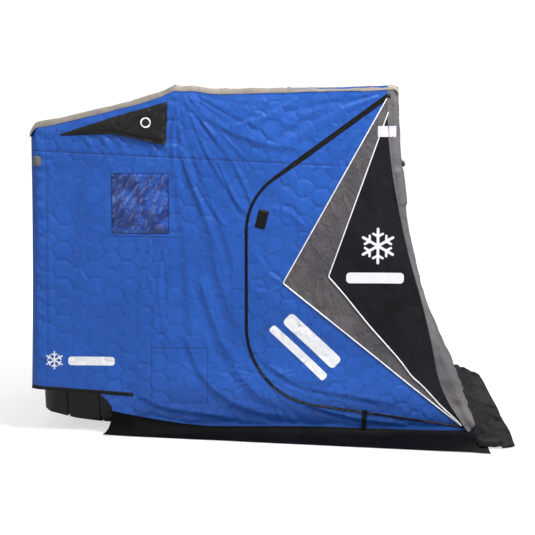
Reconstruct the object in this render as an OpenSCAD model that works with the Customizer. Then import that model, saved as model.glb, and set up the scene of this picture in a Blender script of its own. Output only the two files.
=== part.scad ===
// Two-person flip-over ice fishing shelter: a quilted fabric cover on four
// folding bows that stand on a moulded sled. Back of the sled at -X, front at
// +X, ground at Z = 0. Right is -Y, left is +Y.

/* [Overall] */
// Height of the roof above the ground
roof_h = 2030; // [1800:5:2200]
// Length of the cover on the ground, from back wall to front wall
cover_len = 2640; // [2500:10:2900]
// Outer width of the cover
cover_w = 2000; // [1800:10:2300]

/* [Cover] */
// Thickness of the quilted fabric
fabric_t = 8; // [4:1:12]
// Height of the roof at the back wall
rear_h = 1835; // [1700:5:1900]
// Distance from the back wall to the ridge
ridge_x = 845; // [760:5:940]
// Distance from the back wall to the roof's front edge
front_top_x = 2120; // [2080:5:2180]
// How far the front wall bows in between its top and its foot
front_sag = 130; // [90:5:160]
// Radius of the front corners
front_corner_r = 65; // [45:1:80]
// Radius of the back corners
back_corner_r = 45; // [30:1:60]
// Height of the roof fabric folded down over the side walls
shoulder_h = 28; // [16:1:40]
// Height of the cover's lower edge over the ground where it hangs on the sled
hem_h = 255; // [180:5:300]
// Height of the fabric's lower edge at the front, where the skirt starts
sill_h = 45; // [30:1:60]
// Distance from the back wall to the point where the cover reaches the ground
sill_x = 465; // [380:5:560]
// Height of the skirt seam at that point
sill_back_h = 145; // [90:5:160]
// Length over which the skirt seam falls from there to the front's height
sill_run = 400; // [250:10:600]
// Height of the seam under the roof, at the back wall
seam_h = 1672; // [1620:2:1690]
// Slope of that seam in degrees, falling to the front
seam_slope = 2.7; // [1:0.1:4]

/* [Door] */
// Distance of the door's back edge from the back wall
door_x = 1258; // [1200:5:1400]
// Slope of the zip above the door in degrees
door_top_slope = 36; // [32:0.5:40]
// Slope of the zip below the door in degrees
door_foot_slope = 8; // [5:0.5:10]
// Height of the lower zip where the door folds
door_foot_h = 118; // [100:2:160]
// Corner radius at the top of the door's back edge
door_top_r = 370; // [200:10:420]
// Corner radius at the foot of the door's back edge
door_foot_r = 460; // [250:10:520]
// Top of the fold line: distance from the back wall
fold_top_x = 2016; // [1990:2:2030]
// Foot of the fold line: distance from the back wall
fold_foot_x = 2222; // [2180:2:2230]
// Width of each zip tape
zip_w = 10; // [6:1:14]
// Clearance between the door and the fixed cover
door_gap = 5; // [5:0.5:8]
// Point of the grey star: distance from the back wall
star_x = 1471; // [1440:5:1540]
// Height of that point
star_h = 911; // [860:5:980]
// Slope of the star's edges, above and below its point
star_slopes = [61, 38.6]; // [30:0.2:70]
// Distance of the inner point of the star from the outer one
star_inner = 262; // [200:2:320]
// Slope of the inner edges, above and below the inner point
star_inner_slopes = [70.5, 48.2]; // [45:0.1:75]

/* [Windows] */
// Width of a side window
window_w = 330; // [250:5:380]
// Height of a side window
window_h = 345; // [250:5:360]
// Distance of a side window from the back wall
window_x = 476; // [400:5:520]
// Height of a side window's sill
window_z = 1194; // [1100:5:1210]
// Width of the front window
front_window_w = 900; // [600:10:1100]
// Height of the front window
front_window_h = 165; // [120:5:200]
// Height of the front window's sill
front_window_z = 1378; // [1250:5:1420]
// Thickness of the clear panes
pane_t = 3; // [2:0.5:5]

/* [Skirt] */
// Width of the front skirt on the ground
front_skirt_w = 180; // [140:5:240]
// Width of a side skirt at its back end
side_skirt_back_w = 40; // [30:5:90]
// Width of a side skirt at the front
side_skirt_front_w = 280; // [200:5:340]
// Thickness of the skirt
skirt_t = 3; // [2:0.5:4]

/* [Sled] */
// Length of the sled from back to front
sled_len = 1120; // [950:5:1180]
// Height of the sled
sled_h = 370; // [320:5:420]
// Wall thickness of the sled
sled_wall = 8; // [6:1:12]
// Corner radius of the sled's rim
sled_corner_r = 230; // [150:5:260]
// How far the sled's walls lean in from rim to floor
sled_draft = 75; // [50:5:90]
// Length of the upturned floor at each end
sled_rocker = 290; // [200:5:320]
// Rise of the floor at each end
sled_rise = 75; // [50:5:90]
// Length of the sled's floor that slopes up to its back wall
sled_back_run = 510; // [160:10:600]
// Rise of the floor at the back wall
sled_back_rise = 125; // [40:5:140]
// How far the sled's back wall leans in from rim to floor
sled_back_draft = 34; // [20:1:60]

/* [Bows] */
// Side of the square poles
pole = 30; // [24:1:36]
// Centreline radius of the bows' elbows
elbow_r = 95; // [70:5:110]
// Distance of the pivots from the back wall
pivot_x = 975; // [900:5:1000]
// Height of the pivots over the sled's rim
pivot_rise = 60; // [50:2:90]
// Distance from the pivot to the start of each pole
pole_start = 75; // [70:1:90]

/* [Hidden] */
$fn = 48;
fine = 480;                 // facets of the front wall's long arc

big = 4000;                 // longer than anything here, for cutting
touch = 0.3;                // space between a pole and the fabric it holds
skirt_cut = 50;             // how far the skirt's back end slants back
half_w = cover_w / 2;
hem_t = 3;                  // binding on the cover's lower edge
overall_len = hem_t + cover_len + front_skirt_w;
right = -1;
left = 1;

blue = "#2148b4";
grey = "#66605f";
black = "#17171b";
front_grey = "#77787c";
taupe = "#7d7168";
metal = "#8b8f93";

// Front wall: an arc through its top and its foot
front_top = [front_top_x, roof_h];
front_foot = [cover_len, 0];
front_chord = norm(front_foot - front_top);
front_dir = (front_foot - front_top) / front_chord;
front_r = front_chord * front_chord / (8 * front_sag) + front_sag / 2;
front_centre = (front_top + front_foot) / 2
    + [-front_dir[1], front_dir[0]] * (front_r - front_sag);
function front_x(z, back = 0) =
    front_centre[0] - sqrt(pow(front_r + back, 2) - pow(z - front_centre[1], 2));
function front_angle(z) = asin((front_centre[1] - z) / front_r);

// Roof
roof_slope = atan2(roof_h - rear_h, ridge_x);
rear_side_h = rear_h - shoulder_h / cos(roof_slope);
ridge_side_h = roof_h - shoulder_h / cos(roof_slope);
flat_side_h = roof_h - shoulder_h;

// Lines on a side wall, in the wall's own plane
seam_drop = tan(seam_slope);
fold_foot = [fold_foot_x, door_foot_h];
fold_top = [fold_top_x, roof_h - 98];
fold_angle = atan2(fold_top[1] - fold_foot[1], fold_top[0] - fold_foot[0]);
function heading(a) = [cos(a), sin(a)];
function outward(a) = [sin(a), -cos(a)];
function meet(p, a, q, b) =
    p + heading(a) * ((q - p) * outward(b)) / (heading(a) * outward(b));
// Points of an arc that rounds the corner p between two headings, turning left
function rounded(p, a, b, r, steps = 16) =
    let (turn = b - a,
         reach = r * tan(turn / 2),
         centre = p - heading(a) * reach - outward(a) * r)
    [for (i = [0:steps]) centre + outward(a + turn * i / steps) * r];

zip_top = 180 + door_top_slope;
zip_back = 270;
zip_foot = 360 - door_foot_slope;
zip_top_in = [48, 14];      // from the roof's front end to the zip's own, back and down
zip_top_point = [front_top_x - zip_top_in[0], flat_side_h - zip_top_in[1]];
// Outline of the door grown by g past the zip, and by f past the fold line
function door_outline(g, f) =
    let (top = zip_top_point + outward(zip_top) * g,
         back = [door_x, 0] + outward(zip_back) * g,
         foot = fold_foot + outward(zip_foot) * g,
         fold = fold_foot + outward(fold_angle) * f)
    concat([meet(fold, fold_angle, top, zip_top)],
           rounded(meet(top, zip_top, back, zip_back), zip_top, zip_back, door_top_r + g),
           rounded(meet(back, zip_back, foot, zip_foot), zip_back, zip_foot, door_foot_r + g),
           [meet(foot, zip_foot, fold, fold_angle)]);

zip_inner = door_gap / 2;
zip_outer = door_gap / 2 + zip_w;

// Bows: each runs from the pivot at an angle, and its cross pole touches a face
pivot = [pivot_x, sled_h + pivot_rise];
pole_y = half_w - fabric_t - door_gap - 1 - pole / 2;
function bow_angle(p) = atan2(p[1] - pivot[1], p[0] - pivot[0]);
// Length at which the pole's end reaches the plane n . p = d
function bow_length(a, n, d) =
    (d - n * pivot - pole / 2 * abs(n * outward(a))) / (n * heading(a));
ridge_lean = 28;            // the ridge bow's top stands this far in front of the ridge
rear_bow = bow_angle([pole, rear_h - elbow_r]);
ridge_bow = bow_angle([ridge_x + ridge_lean, roof_h]);
front_bow = bow_angle([front_top_x - elbow_r, roof_h - pole]);
ground_bow = bow_angle([cover_len - elbow_r, pole / 2]);
rear_bow_len = bow_length(rear_bow, [-1, 0], -fabric_t - touch);
ridge_bow_len = bow_length(ridge_bow, [0, 1], roof_h - fabric_t - touch);
front_bow_len = bow_length(front_bow, [0, 1], roof_h - fabric_t - touch);
ground_bow_len = bow_length(ground_bow, [0, -1], 0);

module placed() translate([hem_t - overall_len / 2, 0, 0]) children();

// A flat shape in X and Z that stands on one side wall, between two distances
// outward from the wall's outer face
module on_side(side, from, to) placed()
    translate([0, side > 0 ? half_w + to : -half_w - from, 0]) rotate([90, 0, 0])
        linear_extrude(to - from) children();

module fabric_on_side(side) on_side(side, -fabric_t, 0) children();

// A flat shape in X and Z, drawn out across the whole cover or less
module across(width) placed() translate([0, width / 2, 0]) rotate([90, 0, 0])
    linear_extrude(width) children();

function rear_line(x, down) = rear_h + (roof_h - rear_h) * x / ridge_x - down / cos(roof_slope);

module front_disc(back) translate(front_centre) circle(front_r + back, $fn = fine);

module side_outline() difference() {
    polygon([[back_corner_r, hem_h], [back_corner_r, rear_line(back_corner_r, shoulder_h)],
             [ridge_x, rear_line(ridge_x, shoulder_h)], [ridge_x, flat_side_h],
             [front_top_x, flat_side_h], [cover_len, sill_h],
             [sill_x + sill_run, sill_h], [sill_x, sill_back_h], [sill_x, hem_h]]);
    front_disc(front_corner_r);
}

// The half plane on the left of a line through p with heading a
module left_of(p, a) translate(p) rotate(a) translate([-big, 0]) square([2 * big, big]);

module behind_fold() left_of(fold_foot + outward(fold_angle) * door_gap, fold_angle);
module above_seam() left_of([0, seam_h], -seam_slope);
module above_hem() translate([-big, hem_h]) square([2 * big, big]);

// The fixed fabric of a side wall behind the fold line
module fixed_wall() difference() {
    intersection() { side_outline(); behind_fold(); }
    polygon(door_outline(zip_outer, door_gap + 1));
}

module back_corner(side, from_z, to_z) placed()
    translate([back_corner_r, side * (half_w - back_corner_r), from_z])
        linear_extrude(to_z - from_z) intersection() {
            difference() {
                circle(back_corner_r);
                circle(back_corner_r - fabric_t);
            }
            translate([-big, side > 0 ? 0 : -big]) square(big);
        }

// ---- sled

function floor_bend() = (pow(sled_rocker, 2) + pow(sled_rise, 2)) / (2 * sled_rise);
sled_w = cover_w - 2 * (fabric_t + touch);

// Outline of the sled seen from the front, with upturned ends, shrunk by s
module sled_end_profile(s) {
    r = floor_bend();
    flat = sled_w / 2 - sled_draft - sled_rocker;
    bend = asin(sled_rocker / r);
    half = [for (i = [0:8]) [flat + r * sin(bend * i / 8), r - r * cos(bend * i / 8) + s]];
    rim = sled_w / 2;
    side_pts = concat([[flat, s]], [for (p = half) [p[0] - s, p[1]]], [[rim - s, sled_h + 1]]);
    polygon(concat(side_pts, [for (i = [len(side_pts) - 1:-1:0])
                              [-side_pts[i][0], side_pts[i][1]]]));
}

// Outline of the sled seen from the side, shrunk by s
module sled_side_profile(s) {
    x0 = fabric_t + touch;
    x1 = x0 + sled_len;
    lean = sled_back_draft * (1 - sled_back_rise / sled_h);
    polygon([[x0 + s, sled_h + 1], [x0 + lean + s, sled_back_rise + s],
             [x0 + sled_back_run, s], [x1 - sled_draft - s, s], [x1 - s, sled_h + 1]]);
}

// Rounded rectangle of the sled in plan, shrunk by s
module sled_plan(s) {
    x0 = fabric_t + touch + s;
    y0 = sled_w / 2 - s;
    r = sled_corner_r - s;
    size = [sled_len - 2 * s, 2 * y0];
    translate([x0 + r, -y0]) square([size[0] - 2 * r, size[1]]);
    translate([x0, -y0 + r]) square([size[0], size[1] - 2 * r]);
    for (x = [x0 + r, x0 + size[0] - r], y = [-y0 + r, y0 - r]) translate([x, y]) circle(r);
}

module sled_form(s) placed() intersection() {
    rotate([90, 0, 90]) linear_extrude(big) sled_end_profile(s);
    translate([0, big / 2, 0]) rotate([90, 0, 0]) linear_extrude(big) sled_side_profile(s);
    linear_extrude(sled_h) sled_plan(s);
}

rim_w = 45;
rim_h = 22;
groove_w = 12;              // grooves that stiffen the walls
groove_d = 9;
groove_foot = 12;           // height at which they start, above the flat floor
first_groove = 176;         // from the sled's outside to the first groove's middle
end_grooves = 5;            // on each short wall
long_grooves = 11;          // on each long wall

module sled() color(black) {
    difference() {
        sled_shape(0);
        sled_shape(sled_wall);
    }
    placed() translate([0, 0, sled_h - rim_h]) linear_extrude(rim_h) difference() {
        sled_plan(0);
        sled_plan(rim_w);
    }
}

// The sled as a solid, grooved from outside, shrunk by s
module sled_shape(s) {
    sled_form(s + groove_d);
    difference() {
        sled_form(s);
        placed() sled_grooves(s);
    }
}

module sled_grooves(s) {
    w = groove_w + 2 * s;
    z = groove_foot - s;
    for (i = [0:end_grooves - 1])
        translate([fabric_t + touch + first_groove - w / 2
                       + i * (sled_len - 2 * first_groove) / (end_grooves - 1),
                   -big / 2, z]) cube([w, big, big]);
    for (i = [0:long_grooves - 1])
        translate([-1, first_groove - sled_w / 2 - w / 2
                       + i * (sled_w - 2 * first_groove) / (long_grooves - 1), z])
            cube([big, w, big]);
}

// ---- bows

// Frame of a bow: X runs out from the pivot, Y across the shelter
module in_bow(angle) placed() translate([pivot[0], 0, pivot[1]]) rotate([0, -angle, 0])
    children();

module bow_outline(length, grow) {
    w = pole_y + grow;
    r = elbow_r + grow;
    translate([0, -w]) square([length - elbow_r, 2 * w]);
    translate([0, -w + r]) square([length + grow, 2 * (w - r)]);
    for (s = [-1, 1]) translate([length + grow - r, s * (w - r)]) circle(r);
}

module bow_cross(angle, reach) color(metal) in_bow(angle)
    translate([0, 0, -pole / 2]) linear_extrude(pole) intersection() {
        difference() {
            bow_outline(reach - pole / 2, pole / 2);
            bow_outline(reach - pole / 2, -pole / 2);
        }
        translate([reach - pole / 2 - elbow_r, -big]) square([big, 2 * big]);
    }

module bow_uprights(angle, reach) color(metal) in_bow(angle) for (s = [-1, 1])
    translate([pole_start, s * pole_y - pole / 2, -pole / 2])
        cube([reach - pole / 2 - elbow_r - pole_start, pole, pole]);

module rear_bow_uprights() bow_uprights(rear_bow, rear_bow_len);
module rear_bow_cross() bow_cross(rear_bow, rear_bow_len);
module ridge_bow_uprights() bow_uprights(ridge_bow, ridge_bow_len);
module ridge_bow_cross() bow_cross(ridge_bow, ridge_bow_len);
module front_bow_uprights() bow_uprights(front_bow, front_bow_len);
module front_bow_cross() bow_cross(front_bow, front_bow_len);
module ground_bow_uprights() bow_uprights(ground_bow, ground_bow_len);
module ground_bow_cross() bow_cross(ground_bow, ground_bow_len);

plate_t = 8;
plate_r = pole_start + 30;
bolt_d = 10;

// Plates on the sled's rim that carry the poles' pivots on their outer face
module hub_plates() color(metal) for (s = [-1, 1]) placed()
    translate([0, s * (pole_y - pole / 2 - plate_t / 2) + plate_t / 2, 0]) rotate([90, 0, 0])
        linear_extrude(plate_t) difference() {
            intersection() {
                union() {
                    translate(pivot) circle(plate_r);
                    translate([pivot[0] - plate_r, 0]) square([2 * plate_r, pivot[1]]);
                }
                translate([-big, sled_h]) square([2 * big, big]);
            }
            for (a = [rear_bow, ridge_bow, front_bow])
                translate(pivot + heading(a) * (plate_r - 15)) circle(d = bolt_d);
        }

// ---- roof, back and front

// Flat top with its edges folded down over the side walls
module roof_section() difference() {
    roof_shape(half_w, shoulder_h);
    roof_shape(half_w - fabric_t, shoulder_h - fabric_t);
}
module roof_shape(w, r) intersection() {
    union() {
        for (s = [-1, 1]) translate([s * (w - r), 0]) circle(r);
        translate([-(w - r), -r]) square([2 * (w - r), 2 * r]);
    }
    translate([-w, 0]) square([2 * w, r]);
}

module roof_slab(x, top, slope, length) translate([x, 0, top]) rotate([0, -slope, 0])
    translate([-length / 2, 0, -shoulder_h]) rotate([90, 0, 90])
        linear_extrude(2 * length) roof_section();

module roof_rear() color(taupe) placed() intersection() {
    roof_slab(0, rear_h, roof_slope, ridge_x);
    translate([0, -big / 2, 0]) cube([ridge_x, big, big]);
}

module roof_top() color(taupe) placed() intersection() {
    roof_slab(ridge_x, roof_h, 0, front_top_x);
    translate([ridge_x, -big / 2, 0]) cube([front_top_x - ridge_x, big, big]);
}

module back_wall() color(taupe) placed()
    translate([0, -half_w + back_corner_r, hem_h])
        cube([fabric_t, cover_w - 2 * back_corner_r, rear_h - fabric_t / cos(roof_slope) - hem_h]);

hem_strip = 24;

// Binding sewn on the lower edge, where the cover hangs on the sled
module back_hem() color(black) placed()
    translate([-hem_t, -half_w + back_corner_r, hem_h])
        cube([hem_t, cover_w - 2 * back_corner_r, hem_strip]);

module side_hems() color(black) for (s = [right, left]) on_side(s, 0, hem_t)
    translate([back_corner_r, hem_h]) square([sill_x + 130 - back_corner_r, hem_strip]);

module front_band(from_z, to_z) intersection() {
    difference() { front_disc(fabric_t); front_disc(0); }
    translate([0, from_z]) square([front_centre[0], to_z - from_z]);
}

module front_wall() color(front_grey) difference() {
    across(cover_w - 2 * front_corner_r) front_band(sill_h, roof_h - fabric_t);
    across(front_window_w) translate([0, front_window_z]) square([big, front_window_h]);
}

// Rounded corners between the front wall and the side walls
module front_corners() color(front_grey) for (s = [right, left]) placed() intersection() {
    translate([front_centre[0], 0, front_centre[1]]) rotate([90, 0, 0])
        rotate_extrude($fn = fine) front_corner_section(-s);
    translate([0, -big / 2, sill_h])
        cube([front_centre[0], big, flat_side_h - sill_h]);
}

module front_corner_section(s) intersection() {
    translate([front_r + front_corner_r, s * (half_w - front_corner_r)]) difference() {
        circle(front_corner_r);
        circle(front_corner_r - fabric_t);
    }
    translate([front_r, s > 0 ? half_w - front_corner_r : -half_w])
        square(front_corner_r);
}

module front_window() color("lightblue", 0.5) across(front_window_w) intersection() {
    difference() { front_disc(pane_t); front_disc(0); }
    translate([0, front_window_z]) square([front_centre[0], front_window_h]);
}

frame_w = 25;
frame_t = 14;

// Raised border round the front window
module front_window_frame() color(black) difference() {
    across(front_window_w + 2 * frame_w) intersection() {
        difference() { front_disc(-touch); front_disc(-frame_t); }
        translate([0, front_window_z - frame_w])
            square([front_centre[0], front_window_h + 2 * frame_w]);
    }
    across(front_window_w) translate([0, front_window_z]) square([big, front_window_h]);
}

// Skirt at the foot of the front wall, sloping out to the ground
module front_skirt() color(black) across(cover_w) {
    x = front_x(sill_h);
    end = cover_len + front_skirt_w;
    polygon([[x, sill_h - skirt_t], [x, sill_h], [end, skirt_t], [end, 0], [end - skirt_t, 0]]);
}

// ---- pieces of a side wall

module wall_upper(side) color(blue) {
    fabric_on_side(side) intersection() { fixed_wall(); above_seam(); }
    back_corner(side, seam_h, rear_line(0, shoulder_h));
}

module wall_main(side) color(blue) {
    fabric_on_side(side) difference() {
        intersection() { fixed_wall(); above_hem(); }
        above_seam();
        translate([window_x, window_z]) square([window_w, window_h]);
    }
    back_corner(side, hem_h, seam_h);
}

module wall_sill(side) color(blue) fabric_on_side(side) difference() {
    fixed_wall();
    above_hem();
}

// Fixed fabric in front of the fold line, with the rolled seam the door hangs on
module gore(side) color(black) {
    fabric_on_side(side) {
        difference() {
            side_outline();
            behind_fold();
        }
        translate(fold_foot) rotate(fold_angle) translate([0, -door_gap - 1])
            square([norm(fold_top - fold_foot), door_gap + 1]);
    }
    placed() translate([fold_foot[0], side * half_w, fold_foot[1]])
        rotate([0, 90 - fold_angle, 0])
            cylinder(h = norm(fold_top - fold_foot), r = door_gap - touch);
}

// A thin sheet from the seam down and out to the ground, in three flat pieces
module skirt(side) {
    seam_back = [sill_x, 0, sill_back_h - skirt_t];
    seam_mid = [sill_x + sill_run, 0, sill_h - skirt_t];
    seam_front = [front_x(sill_h) - front_corner_r, 0, sill_h - skirt_t];
    foot_back = [sill_x - skirt_cut, side_skirt_back_w, 0];
    foot_front = [front_x(0), side_skirt_front_w, 0];
    color(black) placed() mirror([0, side > 0 ? 0 : 1, 0]) translate([0, half_w, 0]) {
        sheet(seam_back, foot_back, seam_mid);
        sheet(seam_mid, foot_back, foot_front);
        sheet(seam_mid, foot_front, seam_front);
    }
}
module sheet(a, b, c) hull() for (p = [a, b, c]) translate(p) cube(skirt_t);

module zip_track(side) color(black) on_side(side, -fabric_t, 2) intersection() {
    difference() {
        polygon(door_outline(zip_outer, -door_gap));
        polygon(door_outline(zip_inner, door_gap));
    }
    side_outline();
}

module door_panel() polygon(door_outline(-zip_outer, -door_gap));
module right_of_line(p, a) difference() {
    translate([-big, -big]) square(2 * big);
    left_of(p, a);
}
// The star's edge: a chevron that points to the back
module chevron(point, slopes) polygon([
    point, point + heading(slopes[0]) * big, point + [2 * big, 0], point + heading(-slopes[1]) * big]);
star = [star_x, star_h];
inner_rise = 40;            // the inner point stands this much higher
inner_star = star + [star_inner, inner_rise];

module door_blue(side) color(blue) fabric_on_side(side) difference() {
    door_panel();
    chevron(star, star_slopes);
}
module door_grey(side) color(grey) fabric_on_side(side) difference() {
    intersection() { door_panel(); chevron(star, star_slopes); }
    chevron(inner_star, star_inner_slopes);
}
module door_black(side) color(black) fabric_on_side(side) intersection() {
    door_panel();
    chevron(inner_star, star_inner_slopes);
}

pull_back = 246;            // from the foot of the fold back to the slider
pull = fold_foot + [-pull_back, pull_back * tan(door_foot_slope) - 3];
pull_size = [12, 95];
slider = [24, 14];

module door_zip(side) color(black) {
    on_side(side, -fabric_t, 2) difference() {
        polygon(door_outline(-zip_inner, -door_gap));
        polygon(door_outline(-zip_outer, door_gap));
    }
    // Slider and its pull
    on_side(side, 2, 7) translate(pull + [0, 6]) square(slider);
    on_side(side, 7, 9) translate(pull - [0, pull_size[1] - slider[1] - 6]) square(pull_size);
}

tab_size = [60, 113];
// Beside the end of the zip's upper corner
tab_at = [door_x + 62, meet(zip_top_point, zip_top, [door_x, 0], zip_back)[1]
                           - door_top_r * tan((zip_back - zip_top) / 2) + 17];
tab_turn = -14;
tab_t = 3;

// Hook-and-loop tab that holds the door's flap
module door_tab(side) color(black) on_side(side, 0, tab_t)
    translate(tab_at) rotate(tab_turn) square(tab_size);

// ---- small pieces on both side walls

module side_windows() color("lightblue", 0.5) for (s = [right, left])
    on_side(s, -fabric_t / 2 - pane_t / 2, -fabric_t / 2 + pane_t / 2)
        translate([window_x, window_z]) square([window_w, window_h]);

// Each corner: distance from the back wall, and depth under the sloping roof
vent_corners = [[195, 122], [479, 173], [790, 305], [803, 82]];
vent = [for (p = vent_corners) [p[0], rear_line(p[0], 0) - p[1]]];
vent_t = 12;

module vent_hoods() color(black) for (s = [right, left]) on_side(s, 0, vent_t)
    polygon(vent);

reflector = [48, 56];
front_reflector_w = 30;
reflector_t = 2;

module corner_tabs() color("silver") for (s = [right, left]) on_side(s, 0, reflector_t) {
    translate([back_corner_r, seam_h - reflector[1] - 33]) square(reflector);
    translate([fold_top_x + 34, fold_top[1] - 178]) square([front_reflector_w, reflector[1]]);
}

sled();
hub_plates();
rear_bow_uprights();
rear_bow_cross();
ridge_bow_uprights();
ridge_bow_cross();
front_bow_uprights();
front_bow_cross();
ground_bow_uprights();
ground_bow_cross();
roof_rear();
roof_top();
back_wall();
back_hem();
front_wall();
front_corners();
front_window();
front_window_frame();
front_skirt();
side_windows();
vent_hoods();
corner_tabs();
side_hems();
wall_upper(right);  // right_wall_upper
wall_main(right);  // right_wall_main
wall_sill(right);  // right_wall_sill
gore(right);  // right_gore
skirt(right);  // right_skirt
zip_track(right);  // right_zip_track
door_blue(right);  // right_door_blue
door_grey(right);  // right_door_grey
door_black(right);  // right_door_black
door_zip(right);  // right_door_zip
door_tab(right);  // right_door_tab
wall_upper(left);  // left_wall_upper
wall_main(left);  // left_wall_main
wall_sill(left);  // left_wall_sill
gore(left);  // left_gore
skirt(left);  // left_skirt
zip_track(left);  // left_zip_track
door_blue(left);  // left_door_blue
door_grey(left);  // left_door_grey
door_black(left);  // left_door_black
door_zip(left);  // left_door_zip
door_tab(left);  // left_door_tab
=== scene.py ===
import math

import bpy
import numpy as np
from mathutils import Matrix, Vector


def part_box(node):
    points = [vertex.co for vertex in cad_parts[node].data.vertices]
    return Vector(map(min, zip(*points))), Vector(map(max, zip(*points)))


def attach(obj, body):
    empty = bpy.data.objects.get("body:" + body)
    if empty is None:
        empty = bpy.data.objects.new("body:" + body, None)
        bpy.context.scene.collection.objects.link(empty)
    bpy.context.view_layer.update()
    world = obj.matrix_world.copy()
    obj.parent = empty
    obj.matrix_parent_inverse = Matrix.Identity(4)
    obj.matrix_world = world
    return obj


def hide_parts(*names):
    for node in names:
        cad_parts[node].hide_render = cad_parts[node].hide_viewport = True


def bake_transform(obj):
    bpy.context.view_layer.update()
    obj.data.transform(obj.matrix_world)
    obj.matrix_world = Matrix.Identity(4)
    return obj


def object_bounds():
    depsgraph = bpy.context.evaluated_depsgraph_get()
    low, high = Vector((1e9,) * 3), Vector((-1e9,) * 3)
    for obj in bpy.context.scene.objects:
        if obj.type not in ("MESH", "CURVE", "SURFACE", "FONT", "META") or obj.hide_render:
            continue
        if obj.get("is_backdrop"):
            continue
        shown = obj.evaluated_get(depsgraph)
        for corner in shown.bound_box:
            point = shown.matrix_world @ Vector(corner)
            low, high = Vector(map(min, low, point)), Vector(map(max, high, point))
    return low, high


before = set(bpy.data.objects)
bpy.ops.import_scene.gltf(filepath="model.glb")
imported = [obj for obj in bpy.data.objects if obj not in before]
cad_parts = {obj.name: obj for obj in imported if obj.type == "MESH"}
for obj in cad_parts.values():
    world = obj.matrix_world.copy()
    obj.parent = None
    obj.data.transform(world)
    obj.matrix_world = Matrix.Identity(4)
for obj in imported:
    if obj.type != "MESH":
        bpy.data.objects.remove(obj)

cadBox = [list(corner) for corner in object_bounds()]

# Wall coordinates, in metres: a runs forward from the back wall and v up from the ground.
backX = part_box("back_wall")[0].x
halfWide = -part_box("right_wall_main")[0].y
sides = {"right": -1, "left": 1}      # the side of the row frame's Y that each wall is on

cover = {
    "hem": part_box("right_wall_main")[0].z,         # lower edge where the cover hangs on the sled
    "sill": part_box("front_wall")[0].z,             # lower edge at the front
    "rearTop": 1.835,                              # roof at the back wall
    "roofTop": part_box("roof_top")[1].z,
    "ridge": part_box("roof_rear")[1].x - backX,
    "frontTop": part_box("roof_top")[1].x - backX,
    "foot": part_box("front_skirt")[1].x - backX - 0.18,
    "shoulder": 0.028,                             # roof fabric turned down over the side walls
    "frontSag": 0.13,
    "backCorner": 0.055,
    "sillStart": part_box("right_wall_sill")[0].x - backX,
}


def smooth(low, high, x):
    t = np.clip((x - low) / (high - low), 0, 1)
    return t * t * (3 - 2 * t)


def bump(x, centre, width):
    return np.exp(-(((x - centre) / width) ** 2))


def latticeNoise(x, y, size, seed):
    rng = np.random.RandomState(seed)
    table = rng.uniform(-1, 1, (256, 256))
    x, y = np.asarray(x) / size + 97.3, np.asarray(y) / size + 61.7
    ix, iy = np.floor(x).astype(int), np.floor(y).astype(int)
    fx, fy = x - ix, y - iy
    fx, fy = fx * fx * fx * (fx * (fx * 6 - 15) + 10), fy * fy * fy * (fy * (fy * 6 - 15) + 10)
    corner = lambda i, j: table[(ix + i) % 256, (iy + j) % 256]
    low = corner(0, 0) * (1 - fx) + corner(1, 0) * fx
    high = corner(0, 1) * (1 - fx) + corner(1, 1) * fx
    return low * (1 - fy) + high * fy


def layeredNoise(x, y, size, seed, layers=3):
    return sum(latticeNoise(x, y, size / 2**i, seed + i) / 2**i for i in range(layers))


def creases(x, y, size, seed):
    # Thin crests where two soft noises cross, as in crumpled cloth
    first = 1 - np.abs(layeredNoise(x, y, size, seed, 2)) * 2.2
    second = 1 - np.abs(layeredNoise(x + 5.1, y - 3.7, size * 0.8, seed + 9, 2)) * 2.2
    return np.clip(first, 0, 1) ** 3 + 0.7 * np.clip(second, 0, 1) ** 3


def alongPath(a, v, points, steps=18):
    # Signed distance to a smooth path, and how far along it the nearest point is, 0 to 1
    p = np.array([points[0]] + list(points) + [points[-1]], float)
    line = []
    for i in range(1, len(p) - 2):
        t = np.linspace(0, 1, steps, endpoint=i == len(p) - 3)[:, None]
        line.append(0.5 * (2 * p[i] + (p[i + 1] - p[i - 1]) * t
                           + (2 * p[i - 1] - 5 * p[i] + 4 * p[i + 1] - p[i + 2]) * t**2
                           + (3 * p[i] - p[i - 1] - 3 * p[i + 1] + p[i + 2]) * t**3))
    line = np.concatenate(line)
    best = np.full(np.shape(a), 9.0)
    along = np.zeros(np.shape(a))
    for i in range(len(line) - 1):
        start, run = line[i], line[i + 1] - line[i]
        da, dv = a - start[0], v - start[1]
        t = np.clip((da * run[0] + dv * run[1]) / (run @ run + 1e-12), 0, 1)
        gap = np.hypot(da - t * run[0], dv - t * run[1])
        side = np.sign(da * run[1] - dv * run[0])
        nearer = gap < np.abs(best)
        best = np.where(nearer, np.where(side == 0, 1, side) * gap, best)
        along = np.where(nearer, (i + t) / (len(line) - 1), along)
    return best, along


topFront = np.array([cover["frontTop"], cover["roofTop"]])
chordRun = np.array([cover["foot"], 0]) - topFront
chord = np.hypot(*chordRun)
frontRadius = chord**2 / (8 * cover["frontSag"]) + cover["frontSag"] / 2
frontCentre = (topFront + chordRun / 2
               + np.array([-chordRun[1], chordRun[0]]) / chord * (frontRadius - cover["frontSag"]))


def frontLine(v):
    return frontCentre[0] - np.sqrt(frontRadius**2 - (v - frontCentre[1]) ** 2)


def cornerWidth(v):
    # Width of the front's cloth on the side wall, widest a little above its foot
    return 0.038 + 0.020 * smooth(1.1, 1.8, v) - 0.009 * bump(v, 0.85, 0.20) + 0.050 * bump(v, 0.28, 0.24)


def roofDip(a):
    rear = np.clip(a / cover["ridge"], 0, 1)
    flat = np.clip((a - cover["ridge"]) / (cover["frontTop"] - cover["ridge"]), 0, 1)
    return 0.014 * 4 * rear * (1 - rear) + 0.014 * (4 * flat * (1 - flat)) ** 0.8


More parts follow.
